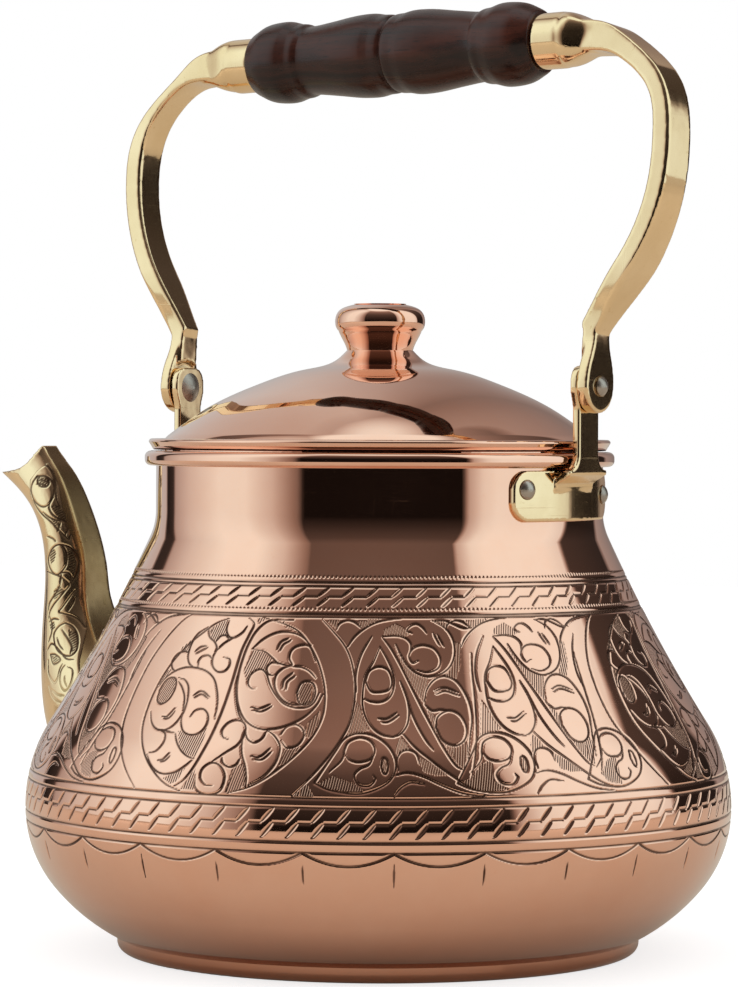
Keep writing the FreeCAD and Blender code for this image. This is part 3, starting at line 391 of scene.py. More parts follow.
def smooth_curve(points, steps=5):
    """A smooth line through the given points."""
    knots = np.vstack((2 * points[0] - points[1], points, 2 * points[-1] - points[-2]))
    share = np.linspace(0, 1, steps, endpoint=False)[:, None]
    rows = []
    for a, b, c, d in zip(knots, knots[1:], knots[2:], knots[3:]):
        rows.append(0.5 * (2 * b + (c - a) * share + (2 * a - 5 * b + 4 * c - d) * share ** 2
                           + (3 * b - a - 3 * c + d) * share ** 3))
    return np.vstack(rows + [points[-1:]])


def scroll_work():
    """Every cut line round the pot, and the outlines of its hatched grounds."""
    lines, grounds = [], []
    for start, end in zip(medallion_turns, medallion_turns[1:] + (medallion_turns[0] + 360,)):
        stretch = (end - start - medallion_width) / filler_width

        def laid(points, shift, widen):
            turn = shift + (points[:, 0] - filler_start) * widen
            return np.column_stack((start + filler_start + turn * stretch, points[:, 1]))

        lines += [smooth_curve(points) + (start, 0) for points in medallion_cuts]
        grounds += [points + (start, 0) for points in medallion_grounds]
        for shift, widen in ((0, 1), (panel_width, 1.05)):
            lines += [laid(smooth_curve(points), shift, widen) for points in comma_cuts + panel_cuts]
            grounds += [laid(points, shift, widen) for points in comma_grounds + panel_grounds]
        lines += [laid(smooth_curve(points), panel_width * 2, 1) for points in comma_cuts]
    back = [line - (360, 0) for line in lines], [outline - (360, 0) for outline in grounds]
    return lines + back[0], grounds + back[1]


def nearest_line(turns, runs, across, lines, reach):
    """Distance in mm from each grid point to the nearest line, up to a reach; open lines thin at their ends.

    One step of the first direction is as long as across says at each place of the second."""
    nearest = np.full((len(turns), len(runs)), reach)
    turn_step, run_step = turns[1] - turns[0], runs[1] - runs[0]
    wide = reach / across.min()
    for line in lines:
        low, high = line.min(0), line.max(0)
        if high[0] < turns[0] - wide or low[0] > turns[-1] + wide:
            continue
        share = np.linspace(0, 1, len(line) - 1)
        closed = np.hypot(*(line[0] - line[-1])) < 0.01
        fullness = np.ones_like(share) if closed else np.clip(0.5 + 3 * np.minimum(share, 1 - share), 0, 1)
        for start, end, full in zip(line, line[1:], fullness):
            first = int((min(start[0], end[0]) - wide - turns[0]) / turn_step)
            last = int((max(start[0], end[0]) + wide - turns[0]) / turn_step) + 2
            foot = int((min(start[1], end[1]) - reach - runs[0]) / run_step)
            head = int((max(start[1], end[1]) + reach - runs[0]) / run_step) + 2
            first, foot = max(first, 0), max(foot, 0)
            if last <= first or head <= foot or first >= len(turns) or foot >= len(runs):
                continue
            scale = across[foot:head]
            x = (turns[first:last, None] - start[0]) * scale
            y = np.broadcast_to(runs[foot:head] - start[1], x.shape)
            dx, dy = (end[0] - start[0]) * scale, end[1] - start[1]
            along = np.clip((x * dx + y * dy) / (dx * dx + dy * dy + 1e-12), 0, 1)
            away = np.hypot(x - along * dx, y - along * dy) / full
            part = nearest[first:last, foot:head]
            np.minimum(part, away, out=part)
    return nearest


def inside_outline(turns, runs, outline):
    """Which grid points lie inside a closed outline."""
    inside = np.zeros((len(turns), len(runs)), bool)
    for start, end in zip(outline, np.roll(outline, -1, axis=0)):
        if start[1] == end[1]:
            continue
        crosses = (start[1] > runs) != (end[1] > runs)
        meet = start[0] + (runs - start[1]) / (end[1] - start[1]) * (end[0] - start[0])
        inside ^= crosses & (turns[:, None] < meet)
    return inside


def cut(away, width):
    """How much of a cut's depth is reached at a distance from its middle: 1 down to 0."""
    share = np.clip(1 - away / (width / 2), 0, 1)
    return share * (1.5 - 0.5 * share * share)


def stroke_row(turns, runs, pitch, start, foot, head):
    """A row of slanting pointed cuts between two heights: 0 to 1."""
    share = (runs - foot) / (head - foot)
    across = np.radians(1) * along_side("across", runs)
    offset = (turns[:, None] - start) / pitch - stroke_lean * share
    away = np.abs(offset - np.round(offset)) * pitch * across
    width = 1.5 * np.clip(np.sin(np.clip(share, 0, 1) * math.pi), 0, 1) ** 0.35
    return np.clip(1 - away / np.maximum(width / 2, 1e-3), 0, 1) * ((share > 0) & (share < 1))


def engraving(turns, runs, lines, grounds):
    """Depth in mm of the cuts over a grid of turns (degrees) and runs (mm), and their dark filling."""
    cuts = bpy.context.scene.teapot_engraving
    width, depth = cuts.line_width / MM, cuts.line_depth / MM
    across = np.radians(1) * along_side("across", runs)
    round_pot = np.ones((len(turns), 1))
    away = nearest_line(turns, runs, across, lines, 0.8)
    deep = cut(away, width) * depth
    shade = cut(away, width * 0.8) * 0.95
    ground, hatch = np.zeros_like(deep), np.zeros_like(deep)

    def press(part, part_depth, part_shade=0.8):
        np.maximum(deep, part * part_depth, out=deep)
        np.maximum(shade, np.clip(part * 1.3 - 0.3, 0, 1) * part_shade, out=shade)

    beaded_lines, plain_lines = (80.4, 72.0), (78.9, 77.9, 70.6, 69.9, 23.1, 20.9, 12.9, 10.4)
    for height in beaded_lines:
        pitch = 360 / cuts.beads
        offset = turns[:, None] / pitch
        beside = (offset - np.round(offset)) * pitch * across
        press(cut(np.hypot(beside * 0.9, runs - height), 0.72), depth * 0.9)
    for height in plain_lines:
        press(cut(np.abs(runs - height), width)[None, :] * round_pot, depth)

    upper, lower = 360 / cuts.upper_strokes, 360 / cuts.lower_strokes
    rows = ((upper, -2.6, 72.6, 75.2, 77.8), (lower, -2.2, 13.7, 17.2, 20.5))
    for pitch, start, foot, middle, head in rows:
        for low, high in ((foot, middle), (middle, head)):
            stroke = stroke_row(turns, runs, pitch, start, low, high)
            press(stroke, cuts.stroke_depth / MM, 0.95)
        phase = ((turns[:, None] - start) / pitch) % 1
        link = cut(np.abs(runs - middle), width * 0.9) * (phase > stroke_lean)
        press(link, depth * 0.8)

    pitch = 360 / cuts.scallops
    offset = (turns[:, None] - 2.4) / pitch
    share = (offset - np.floor(offset)) * 2 - 1
    hang = 7.2 + 3.2 * share ** 2
    slope = np.hypot(1, 2 * 6.4 * share / (pitch * across))
    press(cut(np.abs(runs - hang) / slope, 0.85), cuts.scallop_depth / MM, 0.9)
    away = np.abs(offset - np.round(offset)) * pitch * across
    taper = np.interp(runs, (1.6, 3.5, 5.8, 8), (0, 0.9, 1.1, 0))
    spindle = np.clip(1 - away / np.maximum(taper / 2, 1e-3), 0, 1) * ((runs > 1.6) & (runs < 8))
    press(spindle, cuts.scallop_depth * 1.2 / MM, 1.0)

    for outline in grounds:
        first, last = np.searchsorted(turns, (outline[:, 0].min(), outline[:, 0].max()))
        foot, head = np.searchsorted(runs, (outline[:, 1].min(), outline[:, 1].max()))
        if last <= first or head <= foot:
            continue
        inside = inside_outline(turns[first:last], runs[foot:head], outline)
        part = deep[first:last, foot:head]
        np.maximum(part, inside * depth * 0.3, out=part)
        ground[first:last, foot:head] = np.maximum(ground[first:last, foot:head], inside)
    beside = (turns - 24 * np.round(turns / 24))[:, None] * across
    hatch[:] = (beside * 0.97 - runs * 0.24) / hatch_pitch
    return deep, {"patina": shade, "ground": ground, "hatch": hatch}


# Making pieces

def new_piece(name, mesh, body, material, nodes=()):
    """Hangs a finished mesh on its body and gives it its finish."""
    piece = bpy.data.objects.new(name, mesh)
    bpy.context.scene.collection.objects.link(piece)
    mesh.materials.clear()
    mesh.materials.append(material)
    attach(piece, body)
    if nodes:
        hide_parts(*nodes)
    return piece


def grid_mesh(name, columns, rows):
    """A flat grid with that many steps, and the column and row of each of its points."""
    grid = bmesh.new()
    bmesh.ops.create_grid(grid, x_segments=columns, y_segments=rows, size=1)
    mesh = bpy.data.meshes.new(name)
    grid.to_mesh(mesh)
    grid.free()
    flat = np.zeros(len(mesh.vertices) * 3, np.float32)
    mesh.vertices.foreach_get("co", flat)
    flat = flat.reshape(-1, 3)
    column = np.round((flat[:, 0] + 1) / 2 * columns).astype(int)
    row = np.round((flat[:, 1] + 1) / 2 * rows).astype(int)
    return mesh, column, row


def shape_grid(mesh, places, normals, masks):
    """Moves a grid's points to their places, with their normals and named masks, and closes its seam."""
    mesh.vertices.foreach_set("co", places.astype(np.float32).ravel())
    for name, values in masks.items():
        layer = mesh.attributes.new(name, "FLOAT", "POINT")
        layer.data.foreach_set("value", values.astype(np.float32).ravel())
    facing = mesh.attributes.new("facing", "FLOAT_VECTOR", "POINT")
    facing.data.foreach_set("vector", normals.astype(np.float32).ravel())
    joined = bmesh.new()
    joined.from_mesh(mesh)
    rim = [point for point in joined.verts if point.is_boundary]
    bmesh.ops.remove_doubles(joined, verts=rim, dist=1e-6)
    joined.to_mesh(mesh)
    joined.free()
    mesh.shade_smooth()
    kept = np.zeros(len(mesh.vertices) * 3, np.float32)
    mesh.attributes["facing"].data.foreach_get("vector", kept)
    mesh.attributes.remove(mesh.attributes["facing"])
    mesh.normals_split_custom_set_from_vertices(kept.reshape(-1, 3).tolist())


def eased(points, radius):
    """An outline with its sharp corners rounded."""
    points = np.asarray(points, float)
    rows = [points[:1]]
    for before, corner, after in zip(points, points[1:], points[2:]):
        back, on = before - corner, after - corner
        back_length, on_length = np.linalg.norm(back), np.linalg.norm(on)
        turn = math.pi - math.acos(np.clip(back @ on / (back_length * on_length), -1, 1))
        if turn < math.radians(15):
            rows.append(corner[None])
            continue
        reach = min(radius * math.tan(turn / 2), back_length * 0.45, on_length * 0.45)
        start, end = corner + back / back_length * reach, corner + on / on_length * reach
        share = np.linspace(0, 1, 7)[:, None]
        rows.append((1 - share) ** 2 * start + 2 * share * (1 - share) * corner + share ** 2 * end)
    return np.vstack(rows + [points[-1:]])


def turned_mesh(name, outline, columns=320):
    """A skin turned round the pot's axis from (radius, height) points in mm, listed upwards outside."""
    steps = np.diff(outline, axis=0)
    weighted = np.column_stack((steps[:, 1], -steps[:, 0])) * np.linalg.norm(steps, axis=1)[:, None]
    facing = np.vstack((weighted[:1], weighted[1:] + weighted[:-1], weighted[-1:]))
    if np.allclose(outline[0], outline[-1]):
        facing[0] = facing[-1] = weighted[0] + weighted[-1]
    facing /= np.linalg.norm(facing, axis=1, keepdims=True)
    mesh, column, row = grid_mesh(name, columns, len(outline) - 1)
    angle = column / columns * 2 * math.pi
    cosine, sine = np.cos(angle), np.sin(angle)
    across, height = outline[row].T * MM
    out, up = facing[row].T
    shape_grid(mesh, np.column_stack((across * cosine, across * sine, height)),
               np.column_stack((out * cosine, out * sine, up)), {})
    return mesh


def spline_points(points, steps=14):
    """A smooth curve with even curvature through points spaced unevenly."""
    points = np.asarray(points, float)
    place = np.concatenate(((0,), np.cumsum(np.linalg.norm(np.diff(points, axis=0), axis=1))))
    gap = np.diff(place)
    count = len(points)
    matrix, right = np.eye(count), np.zeros((count, 2))
    for at in range(1, count - 1):
        matrix[at, at - 1:at + 2] = gap[at - 1], 2 * (gap[at - 1] + gap[at]), gap[at]
        after, before = points[at + 1] - points[at], points[at] - points[at - 1]
        right[at] = 6 * (after / gap[at] - before / gap[at - 1])
    bend = np.linalg.solve(matrix, right)
    rows = []
    for at in range(count - 1):
        share = np.linspace(0, 1, steps, endpoint=False)[:, None]
        rest = 1 - share
        rows.append(rest * points[at] + share * points[at + 1] + gap[at] ** 2 / 6 * (
            (rest ** 3 - rest) * bend[at] + (share ** 3 - share) * bend[at + 1]))
    return np.vstack(rows + [points[-1:]])


def skin_mesh(name, turn_range, columns, run_range, rows, depth_of):
    """Part of the pot's outside as a grid, with what is cut into it."""
    turns = np.linspace(*turn_range, columns + 1)
    runs = np.linspace(*run_range, rows + 1)
    turn_step, run_step = turns[1] - turns[0], runs[1] - runs[0]
    wide_turns = np.concatenate(((turns[0] - turn_step,), turns, (turns[-1] + turn_step,)))
    wide_runs = np.concatenate(((runs[0] - run_step,), runs, (runs[-1] + run_step,)))
    deep, masks = depth_of(wide_turns, wide_runs)
    slope_run = (deep[1:-1, 2:] - deep[1:-1, :-2]) / (2 * run_step)
    around = 2 * np.radians(turn_step) * along_side("across", runs)
    slope_turn = (deep[2:, 1:-1] - deep[:-2, 1:-1]) / around
    mesh, column, row = grid_mesh(name, columns, rows)
    run = runs[row]
    out, up = (np.interp(run, side["run"], side["normal"][:, part]) for part in (0, 1))
    inward = deep[1:-1, 1:-1][column, row]
    across = along_side("across", run) - inward * out
    height = along_side("height", run) - inward * up
    angle = bpy.context.scene.teapot_studio.turn + np.radians(turns[column])
    cosine, sine = np.cos(angle), np.sin(angle)
    places = np.column_stack((across * cosine, across * sine, height)) * MM
    lean_run, lean_turn = slope_run[column, row], slope_turn[column, row]
    flat_out = out - lean_run * up
    normals = np.column_stack((flat_out * cosine - lean_turn * sine,
                               flat_out * sine + lean_turn * cosine, up + lean_run * out))
    normals /= np.linalg.norm(normals, axis=1, keepdims=True)
    shape_grid(mesh, places, normals, {key: mask[1:-1, 1:-1][column, row] for key, mask in masks.items()})
    return mesh


def joined_mesh(name, node):
    """A copy of a CAD node with its loose triangles joined."""
    joined = bmesh.new()
    joined.from_mesh(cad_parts[node].data)
    bmesh.ops.remove_doubles(joined, verts=joined.verts, dist=2e-6)
    bmesh.ops.dissolve_degenerate(joined, dist=1e-7, edges=joined.edges)
    mesh = bpy.data.meshes.new(name)
    joined.to_mesh(mesh)
    joined.free()
    mesh.shade_smooth()
    mesh.set_sharp_from_angle(angle=math.radians(32))
    return mesh


def dressed_copy(name, node, body, material):
    """A smooth copy of a CAD node in a finish of its own."""
    piece = new_piece(name, joined_mesh(name, node), body, material, (node,))
    even = piece.modifiers.new("Even shading", "WEIGHTED_NORMAL")
    even.keep_sharp = True
    return piece


# An arm's twist sets in above its eye and ends again at its ferrule; heights and lengths in mm.
hinge_height, arm_lean = 143.5, 0.105
twist_start, twist_run = 150, 15
ferrule_height, ferrule_end, ferrule_run = 215, 58, 10


def cast_copy(name, node, body, material, grain, passes, swell=(), twist=0.0):
    """A copy of a CAD node with its edges softened like a polished casting's."""
    mesh = joined_mesh(name, node)
    cast = bmesh.new()
    cast.from_mesh(mesh)
    for first, second in zip(swell, swell[1:]):
        bmesh.ops.convex_hull(cast, input=[cast.verts.new(Vector(point) * MM) for point in first + second])
    for vert in cast.verts:
        across, along, height = vert.co / MM
        share = min(1, max(0, (height - twist_start) / twist_run))
        if height > ferrule_height:
            share = min(1, max(0, (abs(across) - ferrule_end) / ferrule_run))
        vert.co.x += twist * share * (along - (height - hinge_height) * arm_lean) * MM
    cast.to_mesh(mesh)
    cast.free()
    piece = new_piece(name, mesh, body, material, (node,))
    even = piece.modifiers.new("Even grain", "REMESH")
    even.mode = "VOXEL"
    even.voxel_size = grain * MM
    even.use_smooth_shade = True
    soft = piece.modifiers.new("Polished edges", "SMOOTH")
    soft.factor = 0.5
    soft.iterations = passes
    return piece


# Finishes

def fill(tree, node, inputs):
    """Puts values, or links from other nodes, on a node's inputs."""
    for socket, value in inputs.items():
        if isinstance(value, bpy.types.NodeSocket):
            tree.links.new(value, node.inputs[socket])
        else:
            node.inputs[socket].default_value = value


def add(tree, kind, inputs=None, **settings):
    """A node with its settings, and with values or links on its inputs."""
    node = tree.nodes.new(kind)
    for name, value in settings.items():
        setattr(node, name, value)
    fill(tree, node, inputs or {})
    return node


def grey(level):
    return (level, level, level, 1)


def ramp(tree, value, *stops):
    """A colour ramp through (place, grey) stops."""
    node = add(tree, "ShaderNodeValToRGB", {"Fac": value})
    elements = node.color_ramp.elements
    while len(elements) < len(stops):
        elements.new(0.5)
    for element, (place, level) in zip(elements, stops):
        element.position = place
        element.color = grey(level)
    return node.outputs["Color"]


def noise(tree, vector, scale, detail=3.0, roughness=0.55, distortion=0.0):
    node = add(tree, "ShaderNodeTexNoise", {"Vector": vector, "Scale": scale, "Detail": detail,
                                            "Roughness": roughness, "Distortion": distortion})
    return node.outputs["Fac"]


def stretched(tree, vector, scale, rotation=(0, 0, 0)):
    return add(tree, "ShaderNodeMapping", {"Vector": vector, "Scale": scale,
                                           "Rotation": rotation}).outputs["Vector"]


def maths(tree, operation, *values):
    return add(tree, "ShaderNodeMath", dict(enumerate(values)), operation=operation).outputs["Value"]


def times(tree, first, second):
    return maths(tree, "MULTIPLY", first, second)


def plus(tree, first, second):
    return maths(tree, "ADD", first, second)


def mixed(tree, share, first, second):
    return add(tree, "ShaderNodeMix", {0: share, 6: first, 7: second}, data_type="RGBA").outputs[2]


def bumped(tree, height, strength, distance, **below):
    """The normal of a surface with that height on it."""
    inputs = {"Height": height, "Strength": strength, "Distance": distance, **below}
    return add(tree, "ShaderNodeBump", inputs).outputs["Normal"]


def attribute(tree, name):
    return add(tree, "ShaderNodeAttribute", attribute_name=name).outputs["Fac"]


def patchy(tree, mask, place, scale, detail, least):
    """A mask thinned in patches, down to a least share."""
    return times(tree, mask, ramp(tree, noise(tree, place, scale, detail), (0.25, least), (0.7, 1)))


def effect_group(name, inputs, outputs):
    """An empty group of nodes with named sockets."""
    group = bpy.data.node_groups.new(name, "ShaderNodeTree")
    for label, default in inputs:
        kind = "NodeSocketVector" if label == "Place" else "NodeSocketFloat"
        socket = group.interface.new_socket(name=label, in_out="INPUT", socket_type=kind)
        if default is not None:
            socket.default_value = default
    for label in outputs:
        group.interface.new_socket(name=label, in_out="OUTPUT", socket_type="NodeSocketFloat")
    return group, group.nodes.new("NodeGroupInput").outputs, group.nodes.new("NodeGroupOutput")


def polish_marks():
    """Hairline scratches and faint cloudy wear of hand-polished metal."""
    if "Polish marks" in bpy.data.node_groups:
        return bpy.data.node_groups["Polish marks"]
    group, given, made = effect_group("Polish marks", (("Place", None), ("Fineness", 1.0)),
                                      ("Scratches", "Clouding", "Spots"))
    place = add(group, "ShaderNodeVectorMath", {0: given["Place"], "Scale": given["Fineness"]},
                operation="SCALE").outputs["Vector"]
    first = noise(group, stretched(group, place, (40, 40, 2600), (0.3, 0.9, 0.2)), 1.0, 2)
    second = noise(group, stretched(group, place, (2200, 60, 60), (0.1, 0.5, 1.1)), 1.0, 2)
    hairs = maths(group, "MAXIMUM", ramp(group, first, (0.66, 0), (0.74, 1)),
                  ramp(group, second, (0.67, 0), (0.76, 1)))
    fill(group, made, {"Scratches": hairs,
                       "Clouding": ramp(group, noise(group, place, 55, 4, 0.6), (0.35, 0), (0.7, 1)),
                       "Spots": ramp(group, noise(group, place, 700, 2), (0.68, 0), (0.76, 1))})
    return group


def turning_lines():
    """Fine rings left by spinning sheet on a lathe, stacked along the pot's axis."""
    if "Turning lines" in bpy.data.node_groups:
        return bpy.data.node_groups["Turning lines"]
    group, given, made = effect_group("Turning lines", (("Place", None), ("Rings per metre", 1800.0)),
                                      ("Rings",))
    split = add(group, "ShaderNodeSeparateXYZ", {0: given["Place"]})
    flat = add(group, "ShaderNodeCombineXYZ", {0: split.outputs["X"], 1: split.outputs["Y"]})
    rings = add(group, "ShaderNodeVectorMath", {0: flat.outputs["Vector"]}, operation="LENGTH")
    count = plus(group, times(group, split.outputs["Z"], given["Rings per metre"]),
                 times(group, rings.outputs["Value"], given["Rings per metre"]))
    line = add(group, "ShaderNodeTexNoise", {"W": count, "Scale": 1.0, "Detail": 2.0},
               noise_dimensions="1D")
    fill(group, made, {"Rings": line.outputs["Fac"]})
    return group


def placed(tree, group, place, **values):
    return add(tree, "ShaderNodeGroup", {"Place": place, **values}, node_tree=group).outputs


def paint(name, share=1):
    """A colour of the settings, or a darker share of it."""
    red, green, blue, alpha = getattr(bpy.context.scene.teapot_finishes, name)
    return red * share, green * share, blue * share, alpha


def finish(name, shade, **options):
    """The material of that name, made the first time it is asked for."""
    if name not in bpy.data.materials:
        material = bpy.data.materials.new(name)
        material.use_nodes = True
        tree = material.node_tree
        place = add(tree, "ShaderNodeTexCoord").outputs["Object"]
        fill(tree, tree.nodes["Principled BSDF"], shade(tree, place, **options))
    return bpy.data.materials[name]


def worn_metal(tree, marks, clean, dull, shares, least, hazy, scratched):
    """Colour and roughness of a metal, duller where it is clouded, spotted or scratched."""
    clouded, spotted = shares
    tint = mixed(tree, times(tree, marks["Clouding"], clouded), clean, dull)
    tint = mixed(tree, times(tree, marks["Spots"], spotted), tint, dull)
    rough = maths(tree, "MULTIPLY_ADD", marks["Clouding"], hazy, least)
    return tint, plus(tree, rough, times(tree, marks["Scratches"], scratched))


def copper_shade(tree, place, engraved, rings):
    """Mirror-polished copper, redder in patches, with patina in its cuts and painted shade along its foot."""
    marks = placed(tree, polish_marks(), place)
    tint, rough = worn_metal(tree, marks, paint("copper"), paint("copper_deep"), (0.55, 0.35),
                             0.02, 0.025, 0.03)
    # The last 15 mm above the table are darker: painted shade standing in for the shadowed floor that the
    # foot reflects.
    foot = times(tree, add(tree, "ShaderNodeSeparateXYZ", {0: place}).outputs["Z"], 40.0)
    tint = mixed(tree, ramp(tree, foot, (0.05, 0.75), (0.6, 0)), tint, (0.4, 0.15, 0.075, 1))
    coat, below = 1, {}
    if engraved:
        grime = patchy(tree, ramp(tree, attribute(tree, "patina"), (0.1, 0), (0.62, 1)), place, 160, 3, 0.75)
        stripes = ramp(tree, maths(tree, "PINGPONG", attribute(tree, "hatch"), 0.5), (0.06, 1), (0.3, 0))
        stripes = times(tree, stripes, attribute(tree, "ground"))
        grime = maths(tree, "MAXIMUM", grime, times(tree, stripes, 0.9))
        tint = mixed(tree, grime, tint, paint("patina"))
        rough = plus(tree, rough, times(tree, grime, 0.36))
        coat = maths(tree, "SUBTRACT", 1.0, grime)
        below["Normal"] = bumped(tree, times(tree, stripes, -1.0), 0.8, 0.00008)
    lines = placed(tree, turning_lines(), place)
    height = plus(tree, times(tree, marks["Scratches"], -0.03), times(tree, lines["Rings"], rings))
    height = plus(tree, height, times(tree, noise(tree, place, 90, 2), 0.8))
    return {"Metallic": 1, "Base Color": tint, "Roughness": rough,
            "Normal": bumped(tree, height, 0.25, 0.00006, **below),
            "Coat Weight": coat, "Coat IOR": 1.5, "Coat Roughness": 0.02}


def brass_shade(tree, place, carved=False, dull_back=False):
    """Polished cast brass with duller, darker hollows; a spout's back, toward the pot, is made darker and
    rougher.
    """
    marks = placed(tree, polish_marks(), place, Fineness=0.8)
    tint, rough = worn_metal(tree, marks, paint("brass"), paint("brass_deep"), (0.5, 0.5),
                             0.07, 0.06, 0.05)
    if carved:
        grime = patchy(tree, ramp(tree, attribute(tree, "patina"), (0.08, 0), (0.6, 1)), place, 200, 3, 0.7)
        tint = mixed(tree, grime, tint, paint("patina"))
        rough = plus(tree, rough, times(tree, grime, 0.25))
    if dull_back:
        # Upright up to the bend, then leaning with the neck; it sets in over a short way.
        bend, lean, start, run = 0.096, 0.38, 0.0975, 0.006
        split = add(tree, "ShaderNodeSeparateXYZ", {0: place}).outputs
        above = maths(tree, "MAXIMUM", maths(tree, "SUBTRACT", split["Z"], bend), 0.0)
        depth = plus(tree, split["X"], times(tree, above, lean))
        back = maths(tree, "MULTIPLY_ADD", depth, 1 / run, start / run)
        back = patchy(tree, ramp(tree, back, (0.2, 0), (0.75, 1)), place, 140, 4, 0.75)
        tint = mixed(tree, times(tree, back, 0.85), tint, (0.34, 0.21, 0.08, 1))
        rough = plus(tree, rough, times(tree, back, 0.16))
    height = plus(tree, times(tree, marks["Scratches"], -0.12), times(tree, noise(tree, place, 130, 2), 1.2))
    height = plus(tree, height, times(tree, marks["Spots"], -0.25))
    return {"Metallic": 1, "Base Color": tint, "Roughness": rough,
            "Normal": bumped(tree, height, 0.35, 0.00008)}


def steel_shade(tree, place):
    """Grey steel worn by the hammer and the hand."""
    marks = placed(tree, polish_marks(), place, Fineness=1.4)
    tint, rough = worn_metal(tree, marks, paint("steel"), paint("steel", 0.35), (0.6, 1.0), 0.26, 0.18, 0.0)
    height = plus(tree, times(tree, marks["Scratches"], -0.6), noise(tree, place, 900, 3))
    return {"Metallic": 1, "Base Color": tint, "Roughness": rough,
            "Normal": bumped(tree, height, 0.4, 0.00012)}


def wood_shade(tree, place):
    """Dark reddish turned wood with long streaks and open pores under a thin polish."""
    streaks = noise(tree, stretched(tree, place, (9, 190, 190), (0.06, 0.02, 0.03)), 1.0, 5, 0.62, 0.5)
    bands = noise(tree, stretched(tree, place, (3, 60, 60), (0.2, 0, 0.04)), 1.0, 3, 0.5, 1.2)
    dark = paint("wood", 0.35)
    tint = mixed(tree, ramp(tree, streaks, (0.36, 0), (0.7, 1)), paint("wood"), paint("wood_streak"))
    tint = mixed(tree, ramp(tree, bands, (0.5, 0), (0.62, 0.8)), tint, dark)
    pores = ramp(tree, noise(tree, stretched(tree, place, (90, 2600, 2600)), 1.0, 2), (0.62, 0), (0.7, 1))
    tint = mixed(tree, times(tree, pores, 0.7), tint, dark)
    height = plus(tree, times(tree, pores, -1.0), times(tree, streaks, 0.6))
    return {"Base Color": tint, "Roughness": maths(tree, "MULTIPLY_ADD", streaks, 0.16, 0.2),
            "Normal": bumped(tree, height, 0.25, 0.00008),
            "Specular IOR Level": 0.3, "Coat Weight": 0.1, "Coat Roughness": 0.1}


def table_shade(tree, place):
    """White to the camera, a grey paper to the light."""
    paper = mixed(tree, noise(tree, place, 8, 2), grey(0.42), grey(0.44))
    seen = add(tree, "ShaderNodeLightPath").outputs["Is Camera Ray"]
    return {"Roughness": 0.9, "Specular IOR Level": 0, "Emission Color": grey(1),
            "Base Color": mixed(tree, seen, (0.6, 0.535, 0.45, 1), paper),
            "Emission Strength": times(tree, seen, 0.72)}


def spun_copper():
    return finish("Spun copper", copper_shade, engraved=False, rings=0.012)


def cast_brass():
    return finish("Cast brass", brass_shade)


def worn_steel():
    return finish("Worn steel", steel_shade)


# Steps

